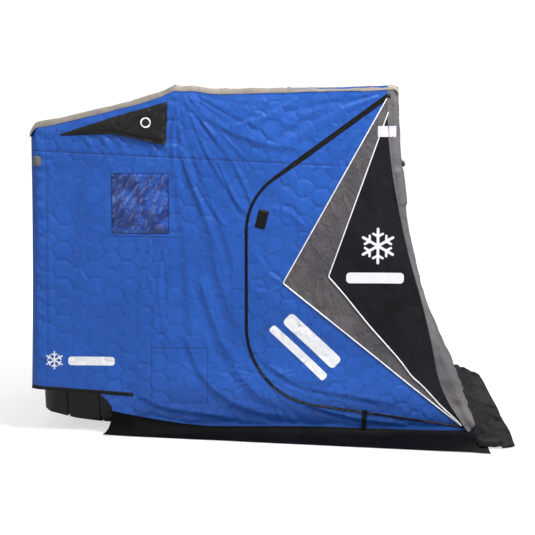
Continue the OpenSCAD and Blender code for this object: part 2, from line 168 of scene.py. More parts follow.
def roofLine(a):
    a = np.asarray(a, float)
    slope = cover["rearTop"] + (cover["roofTop"] - cover["rearTop"]) * np.clip(a / cover["ridge"], 0, 1)
    overPoles = 0.010 * bump(a, cover["ridge"] + 0.02, 0.12) + 0.012 * bump(a, 0.965, 0.07)
    overPoles += 0.016 * smooth(0.95, 1.6, a)
    return slope - roofDip(a) + overPoles - 0.009 * bump(a, 0.16, 0.13) - 0.034 * smooth(0.055, 0.0, a) ** 1.5


def topEdge(a):
    a = np.asarray(a, float)
    return roofLine(a) - 0.030 + 0.014 * smooth(0.9, 2.05, a)


def hemLine(a):
    return cover["hem"] + 0.012 - 0.037 * np.clip(np.asarray(a, float) / 0.6, -0.2, 1)


def skirtSeam(a):
    a = np.asarray(a, float)
    fall = np.clip((a - cover["sillStart"]) / 0.62, 0, 1)
    return 0.045 + 0.088 * (1 - fall) ** 1.6 + 0.010 * bump(a, 1.6, 0.4)


def underRoofSeam(a):
    return 1.672 - 0.047 * a


def backPull(v):
    # How far the back edge is drawn in between hem and roof
    t = np.clip((v - cover["hem"]) / (cover["rearTop"] - cover["hem"]), 0, 1)
    return 0.008 * np.sin(np.pi * t) ** 0.8 - 0.026 * (1 - t)


door = {
    "back": 1.258,          # back edge of the flap
    "topSlope": 36,         # degrees
    "footSlope": 8,
    "topPoint": (cover["frontTop"] - 0.048, cover["roofTop"] - 0.042),
    "topRadius": 0.37,
    "footRadius": 0.46,
    "zipWide": 0.0055,      # half the gap between door and wall under the zip's tape
    "foldFoot": (2.222, 0.118),
    "foldAngle": math.degrees(math.atan2(1.932 - 0.118, 2.016 - 2.222)),
}


def heading(angle):
    return np.array([math.cos(math.radians(angle)), math.sin(math.radians(angle))])


def outward(angle):
    return np.array([math.sin(math.radians(angle)), -math.cos(math.radians(angle))])


def meet(p, a, q, b):
    p, q = np.array(p, float), np.array(q, float)
    return p + heading(a) * ((q - p) @ outward(b)) / (heading(a) @ outward(b))


zipLines = [((door["topPoint"]), 180 + door["topSlope"]),
            ((door["back"], 0), 270),
            ((door["foldFoot"]), 360 - door["footSlope"])]
zipCorners = []
for (p, a), (q, b), radius in ((zipLines[0], zipLines[1], door["topRadius"]),
                               (zipLines[1], zipLines[2], door["footRadius"])):
    reach = radius * math.tan(math.radians(b - a) / 2)
    zipCorners.append((meet(p, a, q, b) - heading(a) * reach - outward(a) * radius, a, b, radius))


def doorDepth(a, v):
    # Distance inside the zip: positive in the flap, negative in the fixed wall
    depth = np.full(np.shape(a), 9.0)
    for p, angle in zipLines:
        n = outward(angle)
        depth = np.minimum(depth, -((a - p[0]) * n[0] + (v - p[1]) * n[1]))
    for centre, start, end, radius in zipCorners:
        wa, wv = a - centre[0], v - centre[1]
        n, m = outward(start), outward(end)
        inSector = (n[0] * wv - n[1] * wa > 0) & (wa * m[1] - wv * m[0] > 0)
        depth = np.where(inSector, radius - np.hypot(wa, wv), depth)
    return depth


def zipPath(offset=0.0, spacing=0.012):
    # Points along the zip from the roof round to the front's foot, moved outward
    points = []
    for centre, start, end, radius in zipCorners:
        for angle in np.linspace(start, end, 40):
            points.append(centre + outward(angle) * (radius + offset))
    first = np.array(door["topPoint"]) - heading(zipLines[0][1]) * 0.012 + outward(zipLines[0][1]) * offset
    last = (np.array(door["foldFoot"]) + heading(zipLines[2][1]) * 0.300
            + outward(zipLines[2][1]) * offset)
    return resample([first] + points + [last], spacing)


def resample(points, spacing):
    points = np.array(points, float)
    run = np.concatenate([[0], np.cumsum(np.hypot(*np.diff(points, axis=0).T))])
    count = max(2, int(run[-1] / spacing) + 1)
    at = np.linspace(0, run[-1], count)
    return np.stack([np.interp(at, run, points[:, 0]), np.interp(at, run, points[:, 1])], 1)


star = {
    "point": (1.471, 0.911),       # outer point of the grey star
    "slopes": (61, -38.6),
    "innerPoint": (1.733, 0.951),
    "innerSlopes": (70.5, -48.2),
    "piping": 0.0038,              # radius
}


def wedgeDepth(a, v, point, slopes):
    up, down = outward(slopes[0]), outward(slopes[1])
    da, dv = a - point[0], v - point[1]
    return np.minimum(da * up[0] + dv * up[1], -(da * down[0] + dv * down[1]))


def starDepth(a, v):
    return wedgeDepth(a, v, star["point"], star["slopes"])


def innerSag(a, v):
    # The inner edge hangs below its straight line where the black panel is slack
    below = smooth(0.93, 0.80, v)
    return below * (0.019 * smooth(1.78, 2.00, a) * smooth(2.50, 2.36, a) + 0.015 * bump(a, 2.215, 0.045))


def innerDepth(a, v):
    return wedgeDepth(a, v + innerSag(a, v), star["innerPoint"], star["innerSlopes"])


quilt = {
    "side": 0.0625,        # side of each hexagon
    "height": 0.0028,      # rise of the wadding between stitches
    "groove": 0.0095,      # how far from a stitch line the cloth is still sinking
}


def hexGap(a, v):
    # Distance to the nearest side of a tiling of hexagons with points left and right
    side = quilt["side"]
    stepA, stepV = 3 * side, math.sqrt(3) * side
    best = None
    for shift in (0, 0.5):
        da = (a / stepA + shift) % 1 - 0.5
        dv = (v / stepV + shift) % 1 - 0.5
        da, dv = np.abs(da * stepA), np.abs(dv * stepV)
        reach = np.maximum(dv, da * math.sqrt(3) / 2 + dv / 2)
        best = reach if best is None else np.minimum(best, reach)
    return stepV / 2 - best


def strayed(a, v):
    # Stitching wanders a little where the cloth is pulled
    return (a + 0.012 * layeredNoise(a, v, 0.17, 11, 3), v + 0.012 * layeredNoise(a, v, 0.15, 31, 3))


def quiltRelief(a, v, amount=1.0):
    sa, sv = strayed(a, v)
    gap = hexGap(sa, sv)
    pillow = 1 - np.exp(-((gap / quilt["groove"]) ** 1.25))
    tucks = latticeNoise(a, v, 0.016, 71) * np.exp(-gap / 0.011)
    slack = np.clip(0.66 + 0.80 * layeredNoise(a, v, 0.20, 73, 2), 0.15, 1.35)
    return amount * (quilt["height"] * pillow * slack + 0.0018 * tucks)


hubPatch = {"low": (0.70, 0.19), "high": (1.03, 0.52)}       # square stitched over the hub

# Folds drawn from the poles' ends across the side wall: path, half width at each end, height
sideFolds = [
    ([(0.86, 1.99), (0.90, 1.62), (1.03, 1.24), (1.13, 0.84), (1.32, 0.40)], 0.016, 0.040, 0.0060),
    ([(0.88, 1.99), (0.97, 1.60), (1.13, 1.20), (1.22, 0.86)], 0.012, 0.028, 0.0042),
    ([(0.90, 1.99), (1.02, 1.68), (1.20, 1.38), (1.30, 1.29)], 0.010, 0.020, 0.0040),
    ([(0.92, 2.00), (1.06, 1.84), (1.34, 1.72), (1.62, 1.68)], 0.011, 0.032, 0.0045),
    ([(0.89, 1.98), (1.16, 1.64), (1.25, 1.46), (1.31, 1.33)], 0.011, 0.017, 0.0044),
    ([(0.84, 1.97), (0.84, 1.60), (0.90, 1.15), (0.93, 0.70), (1.02, 0.30)], 0.012, 0.040, 0.0044),
    ([(0.80, 1.18), (0.745, 0.90), (0.78, 0.60), (0.80, 0.34)], 0.011, 0.024, 0.0038),
    ([(0.70, 1.18), (0.64, 0.84), (0.62, 0.50)], 0.011, 0.032, 0.0026),
    ([(0.33, 1.62), (0.30, 1.10), (0.31, 0.60)], 0.040, 0.064, 0.0032),
    ([(0.12, 1.60), (0.10, 1.00), (0.13, 0.40)], 0.020, 0.036, 0.0032),
    ([(0.98, 0.95), (1.10, 0.60), (1.28, 0.30), (1.50, 0.17)], 0.028, 0.040, 0.0077),
    ([(0.90, 0.60), (1.00, 0.36), (1.22, 0.19), (1.52, 0.12)], 0.024, 0.029, 0.0070),
    ([(0.62, 0.24), (0.78, 0.17), (0.98, 0.14), (1.24, 0.10)], 0.018, 0.021, 0.0064),
    ([(1.56, 1.98), (1.36, 1.86), (1.12, 1.80)], 0.011, 0.024, 0.0032),
    ([(2.02, 1.98), (1.72, 1.86), (1.40, 1.66)], 0.008, 0.032, 0.0032),
    ([(2.03, 1.99), (1.80, 1.92), (1.50, 1.86)], 0.008, 0.028, 0.0026),
    ([(1.47, 0.91), (1.38, 0.98), (1.30, 1.10)], 0.008, 0.021, 0.0038),
    ([(1.46, 0.89), (1.38, 0.86), (1.29, 0.87)], 0.007, 0.016, 0.0032),
    ([(1.48, 0.88), (1.42, 0.76), (1.33, 0.62)], 0.008, 0.021, 0.0038),
    ([(1.60, 1.24), (1.50, 1.32), (1.38, 1.35)], 0.010, 0.024, 0.0032),
    ([(1.72, 1.42), (1.66, 1.30), (1.56, 1.14)], 0.010, 0.018, 0.0026),
    ([(1.30, 0.52), (1.42, 0.40), (1.62, 0.34), (1.84, 0.36)], 0.016, 0.032, 0.0045),
    ([(1.38, 0.44), (1.56, 0.32), (1.86, 0.26), (2.20, 0.20)], 0.013, 0.022, 0.0045),
    ([(1.60, 0.20), (1.90, 0.12), (2.20, 0.09)], 0.013, 0.016, 0.0058),
    ([(0.875, 1.655), (0.94, 1.48), (1.02, 1.30), (1.13, 0.99)], 0.008, 0.018, 0.0036),
    ([(1.09, 1.62), (1.16, 1.46), (1.24, 1.30)], 0.008, 0.014, 0.0034),
    ([(0.96, 1.51), (1.06, 1.34), (1.175, 1.19)], 0.007, 0.014, 0.0030),
    ([(0.62, 1.66), (0.60, 1.52), (0.56, 1.46)], 0.006, 0.012, 0.0022),
    ([(0.70, 1.17), (0.69, 0.98), (0.72, 0.74), (0.70, 0.50)], 0.008, 0.020, 0.0030),
    ([(0.77, 1.12), (0.80, 0.92), (0.79, 0.66)], 0.008, 0.018, 0.0026),
]


def foldRelief(a, v):
    total = np.zeros(np.shape(a))
    for path, thin, wide, height in sideFolds:
        low, high = np.min(path, 0) - 4 * wide, np.max(path, 0) + 4 * wide
        near = (a > low[0]) & (a < high[0]) & (v > low[1]) & (v < high[1])
        gap, along = alongPath(a[near], v[near], path)
        width = thin + (wide - thin) * along
        ends = smooth(0, 0.12, along) * smooth(1, 0.78, along)
        lean = np.where(gap > 0, 0.55, 1.25) * width
        crest = np.exp(-np.abs(gap / lean) ** 1.5) - 0.55 * np.exp(-(((gap - 1.5 * width) / (0.8 * width)) ** 2))
        total[near] += height * ends * crest
    return total


def fanRelief(a, v, centre, spread, reach, seed):
    # Fine tension wrinkles that fan out from a point where the cloth is held
    da, dv = a - centre[0], v - centre[1]
    r = np.hypot(da, dv)
    turn = np.arctan2(dv, da)
    wave = layeredNoise(turn / spread, r / (0.55 * reach), 1.0, seed, 2)
    return wave * smooth(0.0, 0.25 * reach, r) * np.exp(-((r / reach) ** 2))


def sideRelief(a, v):
    a, v = np.asarray(a, float), np.asarray(v, float)
    blueShare = smooth(0.004, -0.006, starDepth(a, v))
    blackShare = smooth(-0.004, 0.006, innerDepth(a, v))
    greyShare = 1 - blueShare - blackShare
    low = smooth(0.50, 0.75, a)
    total = 0.020 * bump(v, 0.27, 0.13) * low * smooth(2.45, 2.0, a)
    total += 0.010 * bump(a, 1.65, 0.5) * bump(v, 1.0, 0.5)
    total -= 0.008 * bump(a, 0.42, 0.35) * bump(v, 0.9, 0.5)
    total += foldRelief(a, v) * (1 - 0.8 * blackShare)
    total += 0.0026 * fanRelief(a, v, (0.87, 2.03), 0.050, 0.75, 5) * blueShare
    total += 0.0024 * fanRelief(a, v, (2.07, 2.01), 0.06, 0.70, 15) * blueShare
    total += 0.0022 * fanRelief(a, v, (1.36, 0.36), 0.12, 0.45, 25) * blueShare
    total += 0.0017 * creases(a, v * 0.6, 0.13, 41) * blueShare
    total += 0.0012 * creases(a * 1.2 + v * 0.25, v * 0.4, 0.065, 45) * blueShare
    total += 0.0024 * layeredNoise(a, v, 0.34, 51) * blueShare
    total += 0.0024 * creases(a * 0.9 + v * 0.5, v * 0.35 - a * 0.2, 0.055, 61) * greyShare
    total += (0.0020 * layeredNoise(a, v * 0.4, 0.16, 81) + 0.0009 * creases(a, v * 0.5, 0.12, 91)) * blackShare
    total += quiltRelief(a, v, blueShare + 0.15 * greyShare)
    # Seam under the roof, with the cloth gathered along it
    seam = v - underRoofSeam(a)
    gather = latticeNoise(a, v * 0.25, 0.022, 101) * np.exp(-np.abs(seam) / 0.035) * smooth(0.2, 0.9, a)
    total += (0.0022 * gather - 0.0030 * np.exp(-((seam / 0.005) ** 2))) * blueShare
    # Gathers below the vent and along the roof's edge
    ventEdge = np.interp(a, [0.19, 0.48, 0.80], [1.757, 1.770, 1.710]) - v
    ruck = latticeNoise(a + 0.55 * v, v * 0.3, 0.036, 111)
    total += 0.0095 * ruck * smooth(0.0, 0.015, ventEdge) * np.exp(-np.clip(ventEdge, 0, 1) / 0.05) \
        * smooth(0.20, 0.40, a) * smooth(0.98, 0.84, a)
    edge = topEdge(a) - v
    total += 0.0040 * latticeNoise(a + 0.6 * v, v * 0.4, 0.045, 121) * np.exp(-edge / 0.05) * smooth(1.1, 0.8, a)
    # Fabric drawn in along the zip, with short puckers
    beside = np.abs(doorDepth(a, v))
    total += 0.0020 * latticeNoise(a, v, 0.030, 131) * np.exp(-beside / 0.030) * smooth(0.010, 0.02, beside)
    # Gathers above the skirt's seam
    rise = v - skirtSeam(a)
    total += 0.0060 * latticeNoise(a, v * 0.35, 0.055, 141) * np.exp(-np.clip(rise, 0, 1) / 0.06) * low
    total -= 0.030 * np.exp(-np.clip(rise, 0, 1) / 0.045) * low
    # Stitched patch over the hub
    (x0, y0), (x1, y1) = hubPatch["low"], hubPatch["high"]
    box = np.maximum(np.abs(a - (x0 + x1) / 2) - (x1 - x0) / 2, np.abs(v - (y0 + y1) / 2) - (y1 - y0) / 2)
    total -= 0.0022 * np.exp(-((box / 0.005) ** 2))
    corner = bump(a, 0.055, 0.030)
    total += (0.0035 * latticeNoise(a * 0.4, v, 0.035, 151) + 0.002) * corner - 0.0035 * bump(a, 0.088, 0.006)
    # Held flat along its borders
    rim = np.minimum(np.hypot(a - frontCentre[0], v - frontCentre[1]) - frontRadius - cornerWidth(v), edge)
    total = total * smooth(-0.01, 0.05, rim) + 0.0005
    return np.clip(total, -0.011, 0.034)        # the poles stand 14 mm behind the cloth


def onSide(side, a, v, lift=0.0):
    # Place of wall coordinates on the right (-1) or left (1) wall, round the back corner too
    a, v = np.asarray(a, float), np.asarray(v, float)
    out = sideRelief(a, v) + lift
    r = cover["backCorner"]
    turn = np.clip((r - a) / r, 0, math.pi / 2)
    past = np.clip(r - math.pi / 2 * r - a, 0, None)
    pull = backPull(v) * np.exp(-np.clip(a, 0, None) / 0.35)
    soft = 1 - smooth(0, math.pi / 2, turn) * 0.7
    x = backX + r - (r + out * soft) * np.sin(turn) + np.clip(a - r, 0, None) + pull
    y = halfWide - r + (r + out * soft) * np.cos(turn) - past
    return np.stack([x, side * y, v + 0 * a], -1)


def clip(flat, faces, keep):
    # Keeps the part where keep is positive, cutting the triangles exactly on its edge
    d = keep(flat[:, 0], flat[:, 1])
    d = np.where(np.abs(d) < 1e-6, 1e-6, d)
    inside = d > 0
    count = inside[faces].sum(1)
    whole = faces[count == 3]
    part = faces[(count == 1) | (count == 2)]
    if len(part):
        state = inside[part]
        oddIn = state.sum(1) == 1
        odd = np.where(oddIn[:, None], state, ~state).argmax(1)
        n = np.arange(len(part))
        a, b, c = part[n, odd], part[n, (odd + 1) % 3], part[n, (odd + 2) % 3]
        ends = np.sort(np.concatenate([np.stack([a, b], 1), np.stack([a, c], 1)]), 1)
        edges, where = np.unique(ends, axis=0, return_inverse=True)
        where = where.ravel()
        t = d[edges[:, 0]] / (d[edges[:, 0]] - d[edges[:, 1]])
        new = flat[edges[:, 0]] + (flat[edges[:, 1]] - flat[edges[:, 0]]) * t[:, None]
        ab, ac = len(flat) + where[:len(part)], len(flat) + where[len(part):]
        flat = np.concatenate([flat, new])
        made = [np.stack([a, ab, ac], 1)[oddIn],
                np.stack([ab, b, c], 1)[~oddIn], np.stack([ab, c, ac], 1)[~oddIn]]
        faces = np.concatenate([whole] + made)
    else:
        faces = whole
    used, faces = np.unique(faces, return_inverse=True)
    return flat[used], faces.reshape(-1, 3)


def merged(parts):
    # One mesh from several cut parts that share edges, with the number of each face's part
    flat = np.concatenate([p[0] for p in parts])
    shift = np.cumsum([0] + [len(p[0]) for p in parts[:-1]])
    faces = np.concatenate([p[1] + s for p, s in zip(parts, shift)])
    zone = np.concatenate([np.full(len(p[1]), i) for i, p in enumerate(parts)])
    keys, first, back = np.unique(np.round(flat, 7), axis=0, return_index=True, return_inverse=True)
    faces = back.ravel()[faces]
    sound = (faces[:, 0] != faces[:, 1]) & (faces[:, 1] != faces[:, 2]) & (faces[:, 2] != faces[:, 0])
    return flat[first], faces[sound], zone[sound]


def flatGrid(low, high, step):
    counts = [max(2, int(round((h - l) / step)) + 1) for l, h in zip(low, high)]
    a, v = np.meshgrid(*[np.linspace(l, h, n) for l, h, n in zip(low, high, counts)], indexing="ij")
    i = np.arange(a.size).reshape(a.shape)
    p, q, r, s = i[:-1, :-1].ravel(), i[1:, :-1].ravel(), i[1:, 1:].ravel(), i[:-1, 1:].ravel()
    odd = (np.add.outer(np.arange(counts[0] - 1), np.arange(counts[1] - 1)) % 2).ravel().astype(bool)
    first = np.where(odd[:, None], np.stack([p, q, s], 1), np.stack([p, q, r], 1))
    second = np.where(odd[:, None], np.stack([q, r, s], 1), np.stack([p, r, s], 1))
    return np.stack([a.ravel(), v.ravel()], 1), np.concatenate([first, second])


def gridQuads(shape):
    i = np.arange(shape[0] * shape[1]).reshape(shape)
    return np.stack([i[:-1, :-1], i[:-1, 1:], i[1:, 1:], i[1:, :-1]], -1).reshape(-1, 4)


def strip(path, profile, closedPath=False, closedProfile=False):
    # A band that follows a flat path; the profile is a list of (sideways, lift)
    path, profile = np.asarray(path, float), np.asarray(profile, float)
    if closedPath:
        run = np.roll(path, -1, 0) - np.roll(path, 1, 0)
    else:
        run = np.gradient(path, axis=0)
    run /= np.maximum(np.hypot(*run.T), 1e-9)[:, None]
    sideways = np.stack([run[:, 1], -run[:, 0]], 1)
    flat = path[:, None] + sideways[:, None] * profile[None, :, :1]
    lift = np.broadcast_to(profile[None, :, 1], flat.shape[:2])
    n, m = flat.shape[:2]
    i = np.arange(n * m).reshape(n, m)
    rows = np.arange(n if closedPath else n - 1)
    cols = np.arange(m if closedProfile else m - 1)
    r0, c0 = np.meshgrid(rows, cols, indexing="ij")
    r1, c1 = (r0 + 1) % n, (c0 + 1) % m
    faces = np.stack([i[r0, c0], i[r0, c1], i[r1, c1], i[r1, c0]], -1).reshape(-1, 4)
    return flat.reshape(-1, 2), lift.reshape(-1), faces


def roundProfile(radius, sunk=0.3, sides=8):
    return [(radius * math.cos(2 * math.pi * i / sides), radius * (1 - sunk + math.sin(2 * math.pi * i / sides)))
            for i in range(sides)]


def domedProfile(wide, high, edge=0.0006):
    return [(wide / 2 * s, edge + (high - edge) * (1 - abs(s) ** 3) ** 0.7) for s in (-1, -0.85, -0.5, 0, 0.5, 0.85, 1)]


def makePiece(name, points, faces, materials, maps=(), zone=None, body="shelter", flip=False):
    points, faces = np.asarray(points, np.float32), np.asarray(faces)
    if flip:
        faces = faces[:, ::-1]
    mesh = bpy.data.meshes.new(name)
    mesh.vertices.add(len(points))
    mesh.vertices.foreach_set("co", points.ravel())
    mesh.loops.add(faces.size)
    mesh.loops.foreach_set("vertex_index", faces.ravel().astype(np.int32))
    mesh.polygons.add(len(faces))
    mesh.polygons.foreach_set("loop_start", np.arange(0, faces.size, faces.shape[1], dtype=np.int32))
    if zone is not None:
        mesh.polygons.foreach_set("material_index", zone.astype(np.int32))
    for mapName, values in maps:
        layer = mesh.uv_layers.new(name=mapName)
        layer.data.foreach_set("uv", np.asarray(values, np.float32)[faces.ravel()].ravel())
    mesh.polygons.foreach_set("use_smooth", np.ones(len(faces), bool))
    mesh.update(calc_edges=True)
    mesh.validate()
    for material in materials if isinstance(materials, (list, tuple)) else [materials]:
        mesh.materials.append(material)
    obj = bpy.data.objects.new(name, mesh)
    bpy.context.scene.collection.objects.link(obj)
    if body:
        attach(obj, body)
    return obj


def boxField(centre, size, radius=0.0, turn=0.0):
    # Signed distance inside a rounded rectangle
    c, s = math.cos(math.radians(turn)), math.sin(math.radians(turn))

    def field(a, v):
        da, dv = a - centre[0], v - centre[1]
        p, q = np.abs(c * da + s * dv) - size[0] / 2 + radius, np.abs(-s * da + c * dv) - size[1] / 2 + radius
        return radius - np.hypot(np.maximum(p, 0), np.maximum(q, 0)) - np.minimum(np.maximum(p, q), 0)
    return field


def polygonField(corners):
    # Signed distance to the sides of a convex polygon, positive inside
    corners = np.array(corners, float)
    turn = np.sign(np.cross(corners[1] - corners[0], corners[2] - corners[1]))

    def field(a, v):
        depth = np.full(np.shape(a), 9.0)
        for p, q in zip(corners, np.roll(corners, -1, 0)):
            run = (q - p) / np.hypot(*(q - p))
            depth = np.minimum(depth, turn * (run[0] * (v - p[1]) - run[1] * (a - p[0])))
        return depth
    return field


class NodeSpace:
    # Short calls for adding nodes to a material or a group
    def __init__(self, tree):
        self.tree = tree

    def add(self, kind, **values):
        node = self.tree.nodes.new(kind)
        for key, value in values.items():
            setattr(node, key, value)
        return node

    def put(self, socket, value):
        if isinstance(value, bpy.types.NodeSocket):
            self.tree.links.new(value, socket)
        elif value is not None:
            socket.default_value = value

    def math(self, operation, a, b=None):
        node = self.add("ShaderNodeMath", operation=operation)
        for socket, value in zip(node.inputs, (a, b)):
            self.put(socket, value)
        return node.outputs[0]

    def ramp(self, value, low, high, start=0.0, end=1.0):
        node = self.add("ShaderNodeMapRange", interpolation_type="SMOOTHSTEP")
        for socket, v in zip(node.inputs, (value, low, high, start, end)):
            self.put(socket, v)
        return node.outputs[0]

    def mix(self, share, a, b, blend="MIX"):
        node = self.add("ShaderNodeMix", data_type="RGBA", blend_type=blend)
        self.put(node.inputs[0], share)
        self.put(node.inputs[6], a)
        self.put(node.inputs[7], b)
        return node.outputs[2]

    def noise(self, vector, scale, detail=3.0, rough=0.5):
        node = self.add("ShaderNodeTexNoise")
        self.put(node.inputs["Vector"], vector)
        for key, value in (("Scale", scale), ("Detail", detail), ("Roughness", rough)):
            self.put(node.inputs[key], value)
        return node.outputs["Fac"]

    def split(self, vector):
        node = self.add("ShaderNodeSeparateXYZ")
        self.put(node.inputs[0], vector)
        return node.outputs

    def joinXyz(self, x, y, z=0.0):
        node = self.add("ShaderNodeCombineXYZ")
        for socket, v in zip(node.inputs, (x, y, z)):
            self.put(socket, v)
        return node.outputs[0]

    def place(self, group, **values):
        node = self.add("ShaderNodeGroup")
        node.node_tree = group
        for key, value in values.items():
            self.put(node.inputs[key.replace("_", " ")], value)
        return node.outputs


def newGroup(name, inputs, outputs):
    group = bpy.data.node_groups.new(name, "ShaderNodeTree")
    for socketName, kind, value in inputs:
        socket = group.interface.new_socket(socketName, in_out="INPUT", socket_type="NodeSocket" + kind)
        if value is not None:
            socket.default_value = value
    for socketName, kind in outputs:
        group.interface.new_socket(socketName, in_out="OUTPUT", socket_type="NodeSocket" + kind)
    space = NodeSpace(group)
    return group, space, space.add("NodeGroupInput").outputs, space.add("NodeGroupOutput").inputs


def clothWeaveGroup():
    # Plain weave: threads over and under each other, with fuzz between them; Gap marks where the threads part, and the
    # cloth paints shade there
    group, n, i, o = newGroup("clothWeave", [("Vector", "Vector", None), ("Threads per Metre", "Float", 900.0)],
                              [("Height", "Float"), ("Gap", "Float")])
    x, y, _ = n.split(i["Vector"])
    x = n.math("MULTIPLY", x, i["Threads per Metre"])
    y = n.math("MULTIPLY", y, i["Threads per Metre"])
    sx, sy = n.math("SINE", n.math("MULTIPLY", x, math.pi)), n.math("SINE", n.math("MULTIPLY", y, math.pi))
    over = n.math("MULTIPLY", sx, sy)
    wobble = n.noise(i["Vector"], 420.0, 2.0)
    n.put(o["Height"], n.math("ADD", n.math("ABSOLUTE", over), n.math("MULTIPLY", wobble, 0.6)))
    n.put(o["Gap"], n.ramp(n.math("ABSOLUTE", over), 0.25, 0.0))
    return group


def clothToneGroup():
    # Slow changes of tone over a large panel, with handling marks and dust low down
    group, n, i, o = newGroup("clothTone", [("Vector", "Vector", None), ("Color", "Color", (0.5, 0.5, 0.5, 1)),
                                            ("Variation", "Float", 0.15), ("Dust", "Float", 0.3),
                                            ("Dust Height", "Float", 0.5)],
                              [("Color", "Color"), ("Mask", "Float")])
    place = n.add("ShaderNodeTexCoord").outputs["Object"]
    broad = n.noise(i["Vector"], 2.3, 4.0, 0.6)
    fine = n.noise(i["Vector"], 19.0, 4.0, 0.6)
    mask = n.math("ADD", n.math("MULTIPLY", broad, 0.65), n.math("MULTIPLY", fine, 0.35))
    dark = n.mix(1.0, i["Color"], (0.62, 0.64, 0.68, 1), "MULTIPLY")
    light = n.mix(1.0, i["Color"], (1.45, 1.40, 1.32, 1), "MULTIPLY")
    tone = n.mix(n.ramp(mask, 0.35, 0.65), dark, light)
    colour = n.mix(i["Variation"], i["Color"], tone)
    low = n.ramp(n.split(place)[2], i["Dust Height"], 0.0)
    specks = n.ramp(n.noise(i["Vector"], 34.0, 5.0, 0.7), 0.42, 0.72)
    dust = n.math("MULTIPLY", n.math("MULTIPLY", low, specks), i["Dust"])
    n.put(o["Color"], n.mix(dust, colour, (0.20, 0.19, 0.18, 1)))
    n.put(o["Mask"], mask)
    return group


def hexStitchGroup():
    # Stitch lines round hexagons with points left and right, thread by thread, and a band beside each line that the
    # cloth uses as painted shade in the groove
    group, n, i, o = newGroup("hexStitch", [("Vector", "Vector", None), ("Side", "Float", 0.0625),
                                            ("Width", "Float", 0.0012)],
                              [("Thread", "Float"), ("Groove Shade", "Float")])
    x, y, _ = n.split(i["Vector"])
    gaps = []
    for shift in (0.0, 0.5):
        parts = []
        for value, share in ((x, 3.0), (y, math.sqrt(3))):
            step = n.math("MULTIPLY", i["Side"], share)
            cell = n.math("SUBTRACT", n.math("FRACT", n.math("ADD", n.math("DIVIDE", value, step), shift + 40.0)), 0.5)
            parts.append(n.math("ABSOLUTE", n.math("MULTIPLY", cell, step)))
        slant = n.math("ADD", n.math("MULTIPLY", parts[0], math.sqrt(3) / 2), n.math("MULTIPLY", parts[1], 0.5))
        gaps.append(n.math("MAXIMUM", parts[1], slant))
    nearest = n.math("MINIMUM", gaps[0], gaps[1])
    gap = n.math("SUBTRACT", n.math("MULTIPLY", i["Side"], math.sqrt(3) / 2), nearest)
    n.put(o["Thread"], n.ramp(gap, i["Width"], n.math("MULTIPLY", i["Width"], 0.4)))
    n.put(o["Groove Shade"], n.ramp(gap, n.math("MULTIPLY", i["Width"], 7.0), 0.0))
    return group


def creaseLinesGroup():
    # Thin broken lines along folds, bent by a slower noise: Line is painted shade in each crease and Shade a painted
    # highlight on one side of each fold; the cloth also uses both for its bump
    group, n, i, o = newGroup("creaseLines", [("Vector", "Vector", None), ("Scale", "Float", 14.0),
                                              ("Width", "Float", 0.03)],
                              [("Line", "Float"), ("Shade", "Float")])
    x, y, _ = n.split(i["Vector"])
    drawn = n.joinXyz(n.math("ADD", x, n.math("MULTIPLY", y, 0.45)),
                      n.math("SUBTRACT", n.math("MULTIPLY", y, 0.40), n.math("MULTIPLY", x, 0.25)))
    fold = n.noise(drawn, i["Scale"], 1.5, 0.5)
    away = n.math("ABSOLUTE", n.math("SUBTRACT", fold, 0.5))
    patch = n.ramp(n.noise(i["Vector"], n.math("MULTIPLY", i["Scale"], 0.45), 2.0), 0.40, 0.58)
    n.put(o["Line"], n.math("MULTIPLY", n.ramp(away, i["Width"], 0.0), patch))
    n.put(o["Shade"], n.ramp(fold, 0.36, 0.64))
    return group


clothWeave, clothTone, hexStitch = clothWeaveGroup(), clothToneGroup(), hexStitchGroup()
creaseLines = creaseLinesGroup()


def newMaterial(name):
    material = bpy.data.materials.new(name)
    material.use_nodes = True
    n = NodeSpace(material.node_tree)
    shader = material.node_tree.nodes["Principled BSDF"]
    return material, n, shader


def uvOf(n, name="flat"):
    node = n.add("ShaderNodeUVMap")
    node.uv_map = name
    return node.outputs[0]


def bumped(n, shader, height, distance):
    node = n.add("ShaderNodeBump")
    node.inputs["Distance"].default_value = distance
    node.inputs["Strength"].default_value = 1.0
    n.put(node.inputs["Height"], height)
    n.put(shader.inputs["Normal"], node.outputs[0])


